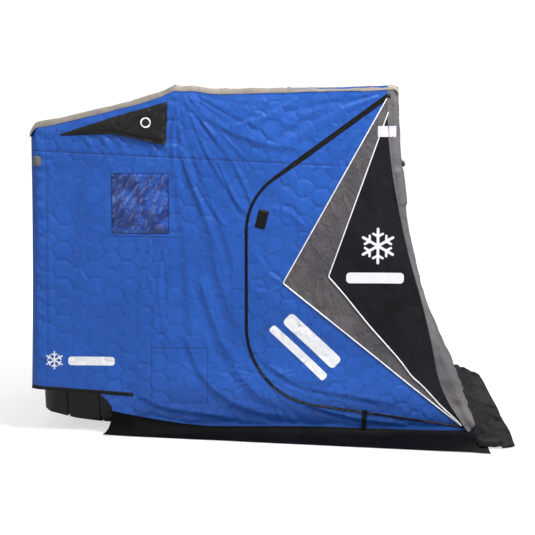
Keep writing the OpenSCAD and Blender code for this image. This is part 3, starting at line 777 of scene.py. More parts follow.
def clothMaterial(name, look):
    # Woven cloth; look gives its colour, lining, gloss and any quilting
    material, n, shader = newMaterial(name)
    vector = uvOf(n)
    weave = n.place(clothWeave, Vector=vector, Threads_per_Metre=look.get("threads", 900.0))
    tone = n.place(clothTone, Vector=vector, Color=(*look["colour"], 1), Variation=look.get("variation", 0.5),
                   Dust=look.get("dust", 0.12), Dust_Height=look.get("dustHeight", 0.45))
    # Painted shade: the colour is darkened in the gaps between threads
    colour = n.mix(n.math("MULTIPLY", weave["Gap"], 0.25), tone["Color"],
                   n.mix(1.0, tone["Color"], (0.55, 0.55, 0.58, 1), "MULTIPLY"))
    height = n.math("MULTIPLY", weave["Height"], look.get("weaveHeight", 0.3))
    rough = n.ramp(tone["Mask"], 0.3, 0.7, look["rough"] - 0.06, look["rough"] + 0.06)
    if look.get("quilted"):
        stitch = n.place(hexStitch, Vector=uvOf(n, "stitch"), Side=quilt["side"], Width=0.0016)
        # Painted shade: the quilted cloth is darkened in the grooves along its stitch lines
        colour = n.mix(n.math("MULTIPLY", stitch["Groove Shade"], look.get("grooveShade", 0.28)), colour,
                       n.mix(1.0, colour, (0.35, 0.38, 0.45, 1), "MULTIPLY"))
        colour = n.mix(n.math("MULTIPLY", stitch["Thread"], 0.40), colour, (*look["thread"], 1))
        height = n.math("SUBTRACT", height, n.math("MULTIPLY", stitch["Thread"], 1.0))
    if look.get("creaseShade"):
        crease = n.place(creaseLines, Vector=vector, Scale=look.get("creaseScale", 14.0))
        # Painted shade: darker along each crease line
        colour = n.mix(n.math("MULTIPLY", crease["Line"], look["creaseShade"]), colour,
                       n.mix(1.0, colour, (0.42, 0.42, 0.46, 1), "MULTIPLY"))
        # Painted highlight: lighter on one side of each fold
        colour = n.mix(n.math("MULTIPLY", crease["Shade"], look["creaseShade"]), colour,
                       n.mix(1.0, colour, (1.45, 1.40, 1.40, 1), "MULTIPLY"))
        height = n.math("ADD", height, n.math("MULTIPLY", n.math("SUBTRACT", crease["Shade"], crease["Line"]), 1.6))
    wrinkle = n.noise(vector, 55.0, 3.0, 0.55)
    height = n.math("ADD", height, n.math("MULTIPLY", wrinkle, look.get("wrinkle", 1.6)))
    lining = look.get("lining", tuple(c * 0.25 for c in look["colour"]))
    behind = n.add("ShaderNodeNewGeometry").outputs["Backfacing"]
    n.put(shader.inputs["Base Color"], n.mix(behind, colour, (*lining, 1)))
    n.put(shader.inputs["Roughness"], rough)
    shader.inputs["Sheen Weight"].default_value = look.get("sheen", 0.0)
    shader.inputs["Sheen Roughness"].default_value = 0.45
    shader.inputs["Specular IOR Level"].default_value = look.get("specular", 0.35)
    bumped(n, shader, height, look.get("bump", 0.0005))
    return material


plainLining = (0.02, 0.02, 0.025)
# The quilted looks paint shade into their stitch grooves, and the creased looks paint shade and highlights along their
# folds
clothLooks = {
    "blueQuilt": dict(colour=(0.0105, 0.081, 0.388), thread=(0.006, 0.035, 0.18), lining=plainLining, rough=0.44,
                      quilted=True, variation=0.30, specular=0.35, grooveShade=0.11),
    "greyCrinkle": dict(colour=(0.078, 0.072, 0.080), lining=plainLining, rough=0.42, variation=0.6, wrinkle=4.0,
                        bump=0.0012, sheen=0.1, creaseShade=0.55, creaseScale=17.0),
    "blackPanel": dict(colour=(0.0062, 0.0066, 0.0090), lining=(0.012, 0.012, 0.014), specular=0.15, rough=0.45,
                       variation=0.8, sheen=0.1, creaseShade=0.8, creaseScale=7.0),
    "frontGrey": dict(colour=(0.118, 0.112, 0.120), lining=plainLining, rough=0.50, variation=0.60, wrinkle=3.5,
                      bump=0.0008, creaseShade=0.35, creaseScale=11.0),
    "roofTaupe": dict(colour=(0.235, 0.208, 0.182), lining=plainLining, rough=0.55, variation=0.45, wrinkle=2.0,
                      creaseShade=0.22, creaseScale=6.0),
    "skirtBlack": dict(colour=(0.0031, 0.0033, 0.0038), lining=(0.010, 0.010, 0.012), specular=0.05, rough=0.55,
                       variation=0.35, dust=0.0, wrinkle=1.6, threads=700.0, creaseShade=0.7, creaseScale=8.0),
    "seamBlue": dict(colour=(0.004, 0.036, 0.20), rough=0.5, variation=0.3, wrinkle=0.6, threads=1100.0),
    "reflectiveWhite": dict(colour=(0.62, 0.60, 0.70), rough=0.3, variation=0.25, wrinkle=0.5, threads=1400.0),
    "bindingBlack": dict(colour=(0.004, 0.004, 0.005), specular=0.2, rough=0.5, threads=1100.0, variation=0.4,
                         wrinkle=0.8),
    "ventBlack": dict(colour=(0.0085, 0.0082, 0.0078), specular=0.25, rough=0.50, variation=0.5, wrinkle=1.6),
    "edgeNavy": dict(colour=(0.002, 0.006, 0.022), specular=0.25, rough=0.4, threads=1100.0, variation=0.8,
                     wrinkle=2.0),
    "reflectiveGrey": dict(colour=(0.14, 0.14, 0.125), rough=0.35, variation=0.4, wrinkle=0.6, threads=1400.0),
}
cloth = {name: clothMaterial(name, look) for name, look in clothLooks.items()}


def shaded(n, shader, share, clean, worn):
    # Base colour between a clean and a worn shade; for the zip's teeth the second shade is a painted highlight on the
    # tooth crests instead
    n.put(shader.inputs["Base Color"], n.mix(share, (*clean, 1), (*worn, 1)))


def pipingMaterial():
    material, n, shader = newMaterial("whitePiping")
    place = n.add("ShaderNodeTexCoord").outputs["Object"]
    dirt = n.ramp(n.noise(place, 40.0, 4.0), 0.45, 0.75)
    shaded(n, shader, n.math("MULTIPLY", dirt, 0.35), (0.80, 0.80, 0.82), (0.42, 0.41, 0.42))
    n.put(shader.inputs["Roughness"], n.ramp(dirt, 0.0, 1.0, 0.38, 0.6))
    bumped(n, shader, n.noise(place, 700.0, 2.0), 0.0003)
    return material


def printMaterial():
    material, n, shader = newMaterial("whitePrint")
    weave = n.place(clothWeave, Vector=uvOf(n), Threads_per_Metre=900.0)
    worn = n.ramp(n.noise(uvOf(n), 90.0, 4.0, 0.6), 0.55, 0.78)
    shaded(n, shader, n.math("MULTIPLY", worn, 0.3), (0.78, 0.79, 0.82), (0.30, 0.31, 0.34))
    n.put(shader.inputs["Roughness"], n.ramp(worn, 0.0, 1.0, 0.42, 0.58))
    bumped(n, shader, weave["Height"], 0.0003)
    return material


def zipMaterial():
    material, n, shader = newMaterial("zipTeeth")
    along = n.split(uvOf(n))[0]
    tooth = n.math("SINE", n.math("MULTIPLY", along, 2 * math.pi / 0.0032))
    # Painted highlight: tooth crests are coloured lighter than the gaps between them
    shaded(n, shader, n.ramp(tooth, -0.4, 0.6), (0.003, 0.003, 0.004), (0.012, 0.012, 0.014))
    shader.inputs["Specular IOR Level"].default_value = 0.3
    n.put(shader.inputs["Roughness"], n.ramp(tooth, -1.0, 1.0, 0.42, 0.55))
    bumped(n, shader, tooth, 0.0006)
    return material


def vinylMaterial():
    # Clear sheet over a blue lining, with pale streaks along its diagonal painted on as reflections from its creases
    material, n, shader = newMaterial("clearVinyl")
    x, y, _ = n.split(uvOf(n))
    along = n.math("ADD", n.math("MULTIPLY", x, 2.5), n.math("MULTIPLY", y, 5.0))
    across = n.math("SUBTRACT", n.math("MULTIPLY", x, 24.0), n.math("MULTIPLY", y, 14.0))
    drawn = n.noise(n.joinXyz(along, across), 1.0, 4.0, 0.6)
    streak = n.ramp(n.math("ABSOLUTE", n.math("SUBTRACT", drawn, 0.5)), 0.045, 0.0)
    patch = n.ramp(n.noise(uvOf(n), 9.0, 3.0, 0.6), 0.42, 0.62)
    reflectionStreaks = n.math("MULTIPLY", streak, patch)
    deep = n.mix(patch, (0.004, 0.026, 0.170, 1), (0.012, 0.074, 0.40, 1))
    # Painted reflection: pale streaks mixed into the base colour
    n.put(shader.inputs["Base Color"], n.mix(n.math("MULTIPLY", reflectionStreaks, 0.42), deep, (0.13, 0.25, 0.60, 1)))
    n.put(shader.inputs["Roughness"], n.ramp(reflectionStreaks, 0.0, 1.0, 0.10, 0.26))
    shader.inputs["Coat Weight"].default_value = 0.8
    shader.inputs["Coat Roughness"].default_value = 0.05
    shader.inputs["Specular IOR Level"].default_value = 0.35
    n.put(shader.inputs["Alpha"], n.ramp(reflectionStreaks, 0.0, 1.0, 0.90, 0.97))
    bumped(n, shader, n.math("ADD", n.noise(uvOf(n), 11.0, 3.0), n.math("MULTIPLY", streak, 0.15)), 0.004)
    return material


def plasticMaterial():
    material, n, shader = newMaterial("sledPlastic")
    place = n.add("ShaderNodeTexCoord").outputs["Object"]
    pebble = n.noise(place, 900.0, 2.0)
    scuff = n.ramp(n.noise(place, 28.0, 6.0, 0.75), 0.56, 0.72)
    shaded(n, shader, n.math("MULTIPLY", scuff, 0.4), (0.006, 0.0062, 0.0064), (0.022, 0.022, 0.023))
    shader.inputs["Specular IOR Level"].default_value = 0.32
    n.put(shader.inputs["Roughness"], n.ramp(scuff, 0.0, 1.0, 0.36, 0.58))
    bumped(n, shader, n.math("ADD", n.math("MULTIPLY", pebble, 0.5), n.math("MULTIPLY", scuff, 0.4)), 0.0007)
    return material


def metalMaterial():
    material, n, shader = newMaterial("poleMetal")
    place = n.add("ShaderNodeTexCoord").outputs["Object"]
    scratch = n.noise(place, 160.0, 5.0, 0.7)
    shaded(n, shader, n.ramp(scratch, 0.4, 0.7), (0.42, 0.43, 0.45), (0.60, 0.61, 0.63))
    shader.inputs["Metallic"].default_value = 1.0
    n.put(shader.inputs["Roughness"], n.ramp(scratch, 0.3, 0.7, 0.28, 0.46))
    bumped(n, shader, scratch, 0.0002)
    return material


whitePiping, whitePrint, zipTeeth = pipingMaterial(), printMaterial(), zipMaterial()
clearVinyl, sledPlastic, poleMetal = vinylMaterial(), plasticMaterial(), metalMaterial()
print("materials made")


# The camera looks at the right side, turned a little towards the front
view = {
    "azimuth": 4.1,
    "distance": 8.66,
    "height": 1.915,
    "aim": (-0.10, 0.0, 0.88),
    "lens": 89.8,
}
camera = bpy.data.objects.new("camera", bpy.data.cameras.new("camera"))
bpy.context.scene.collection.objects.link(camera)
bpy.context.scene.camera = camera
aim = Vector(view["aim"])
away = math.radians(view["azimuth"])
camera.location = (aim.x + view["distance"] * math.sin(away), -view["distance"] * math.cos(away), view["height"])
camera.rotation_euler = (aim - camera.location).to_track_quat("-Z", "Y").to_euler()
camera.data.lens, camera.data.sensor_width = view["lens"], 36


def areaLight(name, place, target, size, power):
    data = bpy.data.lights.new(name, "AREA")
    data.shape, data.size, data.size_y, data.energy = "RECTANGLE", size[0], size[1], power
    light = bpy.data.objects.new(name, data)
    light.location = place
    light.rotation_euler = (Vector(target) - Vector(place)).to_track_quat("-Z", "Y").to_euler()
    bpy.context.scene.collection.objects.link(light)


lights = {      # place, what it points at, size and power in watts
    "keyLight": ((2.6, -3.3, 6.0), (0.2, -0.9, 0.9), (2.0, 2.0), 620),
    "fillLight": ((-4.6, -5.0, 2.6), (-0.2, -0.8, 0.8), (4.0, 3.0), 60),
    "backLight": ((-0.5, 5.5, 4.6), (0, 0.8, 1.0), (4.0, 2.5), 200),
}
for name, values in lights.items():
    areaLight(name, *values)
world = bpy.data.worlds.new("studio")
bpy.context.scene.world = world
world.use_nodes = True
world.node_tree.nodes["Background"].inputs["Color"].default_value = (1, 1, 1, 1)
background = world.node_tree.nodes["Background"]
isCamera = world.node_tree.nodes.new("ShaderNodeLightPath").outputs["Is Camera Ray"]
strength = world.node_tree.nodes.new("ShaderNodeMapRange")
world.node_tree.links.new(isCamera, strength.inputs["Value"])
strength.inputs["To Min"].default_value, strength.inputs["To Max"].default_value = 0.42, 1.05
world.node_tree.links.new(strength.outputs[0], background.inputs["Strength"])
bpy.context.scene.view_settings.view_transform = "Standard"

floorMaterial, n, shader = newMaterial("paleFloor")
speckle = n.noise(n.add("ShaderNodeTexCoord").outputs["Object"], 3.0, 4.0)
n.put(shader.inputs["Base Color"], n.mix(speckle, (0.46, 0.46, 0.46, 1), (0.50, 0.50, 0.50, 1)))
shader.inputs["Roughness"].default_value = 0.8
shader.inputs["Emission Color"].default_value = (1, 1, 1, 1)
far = n.add("ShaderNodeVectorMath", operation="LENGTH")
n.put(far.inputs[0], n.add("ShaderNodeTexCoord").outputs["Object"])
seen = n.add("ShaderNodeLightPath").outputs["Is Camera Ray"]
n.put(shader.inputs["Emission Strength"], n.math("MULTIPLY", seen, n.ramp(far.outputs["Value"], 2.0, 9.0, 0.62, 0.95)))
floorFlat, floorFaces = flatGrid((-30, -30), (30, 30), 6.0)
floorPoints = np.column_stack([floorFlat, np.full(len(floorFlat), -0.0015)])
floor = makePiece("floor", floorPoints, floorFaces, floorMaterial, body=None)
floor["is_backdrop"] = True


sideGrid = {"step": 0.0065}
zipTape = {
    "profile": ((0.0008, 0.0022), (0.0022, 0.0030), (0.0040, 0.0028), (0.0050, 0.0036), (0.0064, 0.0034),
                (0.0078, 0.0022), (0.0086, 0.0006)),        # out from the middle, and up
    "toothRadius": 0.0014,
    "toothPlace": (0.0016, 0.0022),
}


def frontLimit(a, v):
    # Distance behind the seam where the front's fabric begins
    return (frontRadius + cornerWidth(v)) * -1 + np.hypot(a - frontCentre[0], v - frontCentre[1])


def bottomLimit(a, v):
    edge = cover["sillStart"] - 0.075 * smooth(0.16, 0.27, v)
    return np.where(a < edge, v - hemLine(a), v - skirtSeam(a))


def stitchMap(flat):
    return np.stack(strayed(flat[:, 0], flat[:, 1]), 1)


def blendDoor(obj):
    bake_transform(obj)


def sidePiece(prefix, name, flat, lift, faces, materials, zone=None, moving=False, maps=()):
    side = sides[prefix]
    points = onSide(side, flat[:, 0], flat[:, 1], lift)
    obj = makePiece(prefix + name, points, faces, materials, (("flat", flat),) + tuple(maps), zone,
                    body=None if moving else "shelter", flip=side > 0)
    if moving:
        blendDoor(obj)
    return obj


for prefix, side in sides.items():
    step = sideGrid["step"]
    r = cover["backCorner"]
    whole = flatGrid((r - math.pi / 2 * r, 0.03), (2.62, 2.04), step)
    whole = clip(*whole, frontLimit)
    whole = clip(*whole, bottomLimit)
    whole = clip(*whole, lambda a, v: topEdge(a) + 0.014 - v)
    half = door["zipWide"]
    wallFlat, wallFaces = clip(*whole, lambda a, v: -doorDepth(a, v) - half)
    doorPart = clip(*whole, lambda a, v: doorDepth(a, v) - half)
    bluePart = clip(*doorPart, lambda a, v: -starDepth(a, v))
    inside = clip(*doorPart, starDepth)
    doorFlat, doorFaces, doorZone = merged([bluePart, clip(*inside, lambda a, v: -innerDepth(a, v)),
                                            clip(*inside, innerDepth)])
    wall = sidePiece(prefix, "WallCloth", wallFlat, 0.0, wallFaces, cloth["blueQuilt"],
                     maps=(("stitch", stitchMap(wallFlat)),))
    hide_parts(prefix + "_wall_upper", prefix + "_wall_main", prefix + "_wall_sill")
    leaf = sidePiece(prefix, "DoorCloth", doorFlat, 0.0, doorFaces,
                     [cloth["blueQuilt"], cloth["greyCrinkle"], cloth["blackPanel"]], doorZone,
                     moving=True, maps=(("stitch", stitchMap(doorFlat)),))
    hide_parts(prefix + "_door_blue", prefix + "_door_grey", prefix + "_door_black", prefix + "_gore")
    print(prefix, "wall", len(wallFaces), "door", len(doorFaces))

    # White piping along both sides of the grey star
    for pipeName, point, slopes in (("OuterPiping", star["point"], star["slopes"]),
                                    ("InnerPiping", star["innerPoint"], star["innerSlopes"])):
        ends = []
        for slope in slopes:
            reach = np.array(point) + heading(slope) * np.linspace(0, 1.5, 600)[:, None]
            ok = (frontLimit(reach[:, 0], reach[:, 1]) > -0.002) & (doorDepth(reach[:, 0], reach[:, 1]) > 0.006)
            ends.append(reach[:np.argmin(ok)] if not ok.all() else reach)
        path = np.concatenate([ends[0][::-1], [point], ends[1]])
        if pipeName == "InnerPiping":
            path = path - np.stack([0 * path[:, 0], innerSag(path[:, 0], path[:, 1])], 1)
        path = resample(path, 0.006)
        path[1:-1] = (path[:-2] + 2 * path[1:-1] + path[2:]) / 4
        flat, lift, faces = strip(path, roundProfile(star["piping"], -0.05), closedProfile=True)
        sidePiece(prefix, pipeName, flat, lift, faces, whitePiping, moving=True)

    # Zip round the door: tape on each side of a row of teeth
    path = zipPath()
    inWall = frontLimit(path[:, 0], path[:, 1]) > -0.012
    path = path[inWall]
    for half, sign, moving, stands in (("ZipTrack", 1, False, "_zip_track"), ("ZipEdge", -1, True, "_door_zip")):
        tape = [(sign * x, h) for x, h in zipTape["profile"]]
        if sign < 0:
            tape = tape[::-1]
        flat, lift, faces = strip(path, tape)
        wider = 1 + 0.75 * smooth(1.45, 1.65, path[:, 1]) - 0.12 * smooth(0.4, 0.2, path[:, 1])
        middle = np.repeat(path, len(tape), 0)
        flat = middle + (flat - middle) * np.repeat(wider, len(tape))[:, None]
        tapePiece = sidePiece(prefix, half, flat, lift, faces, cloth["bindingBlack"], moving=moving)
        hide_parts(prefix + stands)
        toothX, toothH = zipTape["toothPlace"]
        row = [(sign * toothX + x, toothH + h) for x, h in roundProfile(zipTape["toothRadius"], 0.0, 6)]
        flat, lift, faces = strip(path, row, closedProfile=True)
        sidePiece(prefix, half + "Teeth", flat, lift, faces, zipTeeth, moving=moving)

print("sides made")


def onBand(place, name, path, profile, material, replaced=()):
    # A band laid on any cloth; place turns flat points and lift into the row frame
    flat, lift, faces = strip(path, profile)
    obj = makePiece(name, place(flat[:, 0], flat[:, 1], lift), faces, material, (("flat", flat),))
    if replaced:
        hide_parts(*replaced)


frontWall = {
    "step": 0.012,
    "corner": 0.034,            # radius of the rounded corners
    "window": (0.90, 0.165, 1.46),   # width, height and middle of the window
    "seams": (1.582, 0.62),
}


def frontRelief(p, v):
    q = np.abs(p)
    w = halfWide - frontWall["corner"]
    wide, high, mid = frontWall["window"]
    total = 0.0035 * creases(p, v * 0.5, 0.15, 211) + 0.004 * layeredNoise(p, v, 0.35, 221)
    total += 0.006 * bump(q, halfWide * 0.5, 0.5) * bump(v, 0.8, 0.5)
    total += 0.005 * fanRelief(q, v, (halfWide, 2.05), 0.12, 0.8, 231)
    for seam in frontWall["seams"]:
        gap = v - seam - 0.004 * np.sin(q * 9)
        total += 0.0024 * latticeNoise(p, v * 0.2, 0.025, 241) * np.exp(-np.abs(gap) / 0.04)
        total -= 0.0035 * np.exp(-((gap / 0.006) ** 2))
    low = smooth(1.32, 0.7, v)
    total += low * 0.0065 * latticeNoise(p, v * 1.9 + 0.35 * q, 0.10, 251) * smooth(w - 0.35, w, q)
    total += 0.013 * bump(v, 0.34, 0.12) * smooth(w - 0.12, w - 0.01, q)
    total += 0.010 * bump(v, 0.13, 0.055) * smooth(w - 0.16, w - 0.02, q)
    total += 0.010 * smooth(1.355, 1.375, v) * smooth(1.575, 1.555, v) * smooth(w - 0.30, w - 0.04, q)
    total += 0.010 * latticeNoise(p, v * 0.4, 0.06, 261) * np.exp(-np.clip(v - 0.05, 0, 1) / 0.08)
    seam = frontHalf(v)
    total = total - 0.014 * smooth(1.45, 1.2, v)
    return np.clip(total, -0.026, 0.022) * smooth(seam, seam - 0.03, q) * smooth(2.035, 1.98, v) + 0.001


def onFront(p, v, lift=0.0):
    p, v = np.asarray(p, float), np.asarray(v, float)
    r = frontWall["corner"]
    side, q, w = np.sign(p), np.abs(p), halfWide - r
    turn = np.clip((q - w) / r, 0, math.pi / 2)
    past = np.clip(q - w - r * math.pi / 2, 0, None)
    out = frontRelief(p, v) + lift
    x = backX + frontLine(v) - r + (r + out) * np.cos(turn) - past
    y = side * (np.minimum(q, w) + (r + out) * np.sin(turn))
    return np.stack([x, y, v + 0 * p], -1)


def frontHalf(v):
    # From the front's middle, round its corner, to where its cloth ends on the side wall
    r = frontWall["corner"]
    down = v - frontCentre[1]
    onWall = np.sqrt((frontRadius + cornerWidth(v)) ** 2 - down**2) - np.sqrt(frontRadius**2 - down**2)
    return halfWide - r + math.pi / 2 * r + onWall - r


frontReach = halfWide + 0.18
flat, faces = flatGrid((-frontReach, cover["sill"] - 0.02), (frontReach, cover["roofTop"] + 0.004), frontWall["step"])
flat, faces = clip(flat, faces, lambda p, v: frontHalf(v) + 0.005 - np.abs(p))
wide, high, mid = frontWall["window"]
opening = boxField((0, mid), (wide - 0.02, high - 0.02), 0.02)
flat, faces = clip(flat, faces, lambda p, v: -opening(p, v))
frontCloth = makePiece("frontCloth", onFront(flat[:, 0], flat[:, 1]), faces, cloth["frontGrey"], (("flat", flat),))
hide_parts("front_wall", "front_corners")

# Welt where the front's grey cloth meets the sides
for prefix, sign in sides.items():
    v = np.linspace(cover["sill"] - 0.01, cover["roofTop"] - 0.01, 190)
    path = np.stack([sign * frontHalf(v), v], 1)
    onBand(onFront, prefix + "FrontWelt", path, domedProfile(0.010, 0.0032), cloth["frontGrey"])

# A pane behind a padded frame, with its cover rolled up above
frontWindow = {
    "step": 0.008,
    "frame": (0.15, 0.055, 0.012),      # how much wider, higher and thicker than the pane
    "rollHalf": 0.52,
    "rollRadius": 0.017,
    "ties": (-0.36, 0.0, 0.36),
    "tieReach": 0.026,
}


def windowPiece(name, field, low, high, lift, material, replaced):
    flat, faces = clip(*flatGrid(low, high, frontWindow["step"]), field)
    obj = makePiece(name, onFront(flat[:, 0], flat[:, 1], lift(flat[:, 0], flat[:, 1])), faces, material,
                    (("flat", flat),))
    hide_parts(replaced)


moreWide, moreHigh, padding = frontWindow["frame"]
outer = boxField((0, mid), (wide + moreWide, high + moreHigh), 0.03)
inner = boxField((0, mid), (wide - 0.01, high - 0.01), 0.02)


def frameField(p, v):
    return np.minimum(outer(p, v), -inner(p, v))


windowPiece("frontWindowFrame", frameField, (-0.55, 1.34), (0.55, 1.58),
            lambda p, v: 0.001 + padding * smooth(0, 0.012, frameField(p, v)), cloth["frontGrey"],
            "front_window_frame")
windowPiece("frontWindowPane", boxField((0, mid), (wide, high), 0.02), (-0.47, 1.36), (0.47, 1.56),
            lambda p, v: -0.003 + 0.0022 * creases(p, v, 0.09, 301), clearVinyl, "front_window")
rollHigh = mid + high / 2 + 0.036
rollHalf, rollRadius = frontWindow["rollHalf"], frontWindow["rollRadius"]
turns = np.linspace(0, 2 * math.pi, 12, endpoint=False)
flat, lift, faces = strip(resample([(-rollHalf, rollHigh), (rollHalf, rollHigh)], 0.012),
                          np.stack([rollRadius * np.cos(turns), rollRadius * np.sin(turns)], 1), closedProfile=True)
drawnIn = np.sqrt(np.clip((rollHalf + 0.0001 - np.abs(flat[:, 0])) / 0.015, 0, 1))      # closed at both ends
flat[:, 1] = rollHigh + (flat[:, 1] - rollHigh) * drawnIn
makePiece("frontWindowRoll", onFront(flat[:, 0], flat[:, 1], 0.014 + lift * drawnIn), faces, cloth["frontGrey"],
          (("flat", flat),))
for k, p in enumerate(frontWindow["ties"]):
    path = resample([(p, rollHigh - frontWindow["tieReach"]), (p, rollHigh + frontWindow["tieReach"])], 0.004)
    flat, lift, faces = strip(path, [(-0.010, 0), (0, 0), (0.010, 0)])
    over = 0.032 * np.sqrt(np.clip(1 - ((flat[:, 1] - rollHigh) / 0.0265) ** 2, 0, 1)) + 0.001
    makePiece("windowTie%d" % (k + 1), onFront(flat[:, 0], flat[:, 1], over), faces, cloth["frontGrey"],
              (("flat", flat),))
print("front made")


roof = {
    "step": 0.014,
    "sideRoll": 0.020,      # radius where it turns down over the sides
    "endRoll": 0.030,       # radius at the back and the front
    "past": (0.018, 0.012, 0.020),      # how far it runs on past each roll: back, front, sides
    "proud": 0.0035,        # how far it stands out over the side walls
    "seams": (cover["ridge"], 1.50),
}


def rolled(t, limit, radius):
    # Along a flat run that turns down at its end: place along the flat, and drop
    turn = np.clip((t - (limit - radius)) / radius, 0, math.pi / 2)
    past = np.clip(t - limit + radius - radius * math.pi / 2, 0, None)
    return np.where(t < limit - radius, t, limit - radius + radius * np.sin(turn)), radius * (1 - np.cos(turn)) + past


def onRoof(a, q, lift=0.0):
    a, q = np.asarray(a, float), np.asarray(q, float)
    side, across = np.sign(q), np.abs(q)
    y, dropSide = rolled(across, halfWide + roof["proud"], roof["sideRoll"])
    middle = cover["frontTop"] / 2
    x, dropEnd = rolled(np.abs(a - middle), middle, roof["endRoll"])
    x = middle + np.sign(a - middle) * x
    span = np.clip(a / cover["ridge"], 0, 1) * np.clip((cover["ridge"] - a) / cover["ridge"], 0, 1) * 4
    flatSpan = np.clip((a - cover["ridge"]) / (cover["frontTop"] - cover["ridge"]), 0, 1)
    span = np.maximum(span, 4 * flatSpan * (1 - flatSpan))
    middleShare = np.clip(1 - (across / halfWide) ** 2, 0, 1)
    sag = (0.020 * span) * middleShare
    wave = (0.0030 * layeredNoise(a, q, 0.30, 401) + 0.0022 * creases(a, q, 0.16, 411)) * smooth(0, 0.08, span)
    ruck = 0.0035 * latticeNoise(a + 0.3 * q, across * 0.3, 0.05, 421) * np.exp(-np.abs(across - halfWide) / 0.06)
    quiltUp = quiltRelief(a, q, 0.5) * middleShare
    bowLine = 0.004 * bump(a, cover["ridge"], 0.03)
    z = roofLine(np.clip(a, 0, cover["frontTop"])) - sag + (wave + ruck) * (dropSide < 0.02) + quiltUp + bowLine
    out = lift * (dropSide < 0.01)
    return np.stack([backX + x, side * (y + lift * (dropSide >= 0.01)), z + out - dropSide - dropEnd], -1)


def turnExtra(radius):
    # How much longer a quarter turn is than its radius
    return radius * (math.pi / 2 - 1)


reachSide = halfWide + roof["proud"] + turnExtra(roof["sideRoll"])
pastBack, pastFront, pastSide = roof["past"]
flat, faces = flatGrid((-turnExtra(roof["endRoll"]) - pastBack, -reachSide - pastSide),
                       (cover["frontTop"] + turnExtra(roof["endRoll"]) + pastFront, reachSide + pastSide), roof["step"])


def roofDown(a, q):
    # The turned-down edge wanders a little and gets narrower toward the front
    run = reachSide + 0.012 - 0.006 * smooth(0.9, 2.0, a) + 0.0035 * latticeNoise(a, 0 * q, 0.11, 431)
    return run - np.abs(q)


flat, faces = clip(flat, faces, roofDown)
roofCloth = makePiece("roofCloth", onRoof(flat[:, 0], flat[:, 1]), faces, cloth["roofTaupe"], (("flat", flat),))
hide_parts("roof_rear", "roof_top")
for k, a in enumerate(roof["seams"]):
    path = resample([(a, -halfWide + 0.03), (a, halfWide - 0.03)], 0.03)
    onBand(onRoof, "roofSeam%d" % (k + 1), path, domedProfile(0.018, 0.0028), cloth["roofTaupe"])
print("roof made")


backWall = {"step": 0.012}


def backRelief(q, v):
    total = 0.006 * layeredNoise(q, v, 0.4, 501) + 0.0025 * creases(q, v * 0.6, 0.16, 511)
    total += 0.005 * fanRelief(np.abs(q), v, (halfWide, 1.85), 0.12, 0.7, 521)
    total += 0.006 * latticeNoise(q, v * 0.3, 0.06, 531) * np.exp(-np.clip(v - cover["hem"], 0, 2) / 0.08)
    total += 0.005 * latticeNoise(q, v * 0.3, 0.06, 541) * np.exp(-np.clip(cover["rearTop"] - v, 0, 2) / 0.07)
    gap = v - 1.672
    total -= 0.003 * np.exp(-((gap / 0.006) ** 2))
    total += quiltRelief(q, v, 1.0)
    edge = halfWide - cover["backCorner"] - np.abs(q)
    return np.clip(total, -0.015, 0.016) * smooth(0.0, 0.05, edge) + 0.0005


def onBack(q, v, lift=0.0):
    q, v = np.asarray(q, float), np.asarray(v, float)
    out = backRelief(q, v) + lift
    return np.stack([backX + backPull(v) - out, q + 0 * v, v + 0 * q], -1)


edge = halfWide - cover["backCorner"] + 0.003
flat, faces = flatGrid((-edge, cover["hem"]), (edge, cover["rearTop"] - 0.050), backWall["step"])
backCloth = makePiece("backCloth", onBack(flat[:, 0], flat[:, 1]), faces, cloth["blueQuilt"],
                      (("flat", flat), ("stitch", stitchMap(flat))), flip=True)
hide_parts("back_wall")
path = resample([(edge - 0.004, cover["hem"] + 0.012), (-edge + 0.004, cover["hem"] + 0.012)], 0.02)
onBand(onBack, "backHemBinding", path, domedProfile(0.024, 0.0045), cloth["bindingBlack"],
       replaced=("back_hem",))
for prefix, sign in sides.items():
    path = resample([(sign * (edge - 0.001), cover["hem"]), (sign * (edge - 0.001), cover["rearTop"] - 0.060)], 0.02)
    onBand(onBack, prefix + "BackWelt", path, domedProfile(0.010, 0.0035), cloth["blueQuilt"])
print("back made")


trim = {
    "window": (0.641, 1.367, 0.330, 0.345),                 # middle, width and height
    "ventTop": ((0.190, 0.50, 0.803), (1.768, 1.866, 1.950)),
    "ventFoot": ((0.190, 0.478, 0.792), (1.760, 1.771, 1.706)),
    "ventFront": 0.800,
    "ventHigh": 0.016,
    "ringPlace": (0.682, 1.832),
    "ringRadius": 0.026,
    "tab": (1.348, 1.28, 0.060, 0.110, -14),                # on the door: place, size and turn in degrees
    "pull": (1.948, 0.153),
    "lowSeam": ((0.440, 1.178), (0.860, 1.172)),            # under the window
    "rearReflector": (0.040, 1.610, 0.052, 0.056),
    "frontReflector": ((2.008, 1.752), (2.112, 1.814)),
}

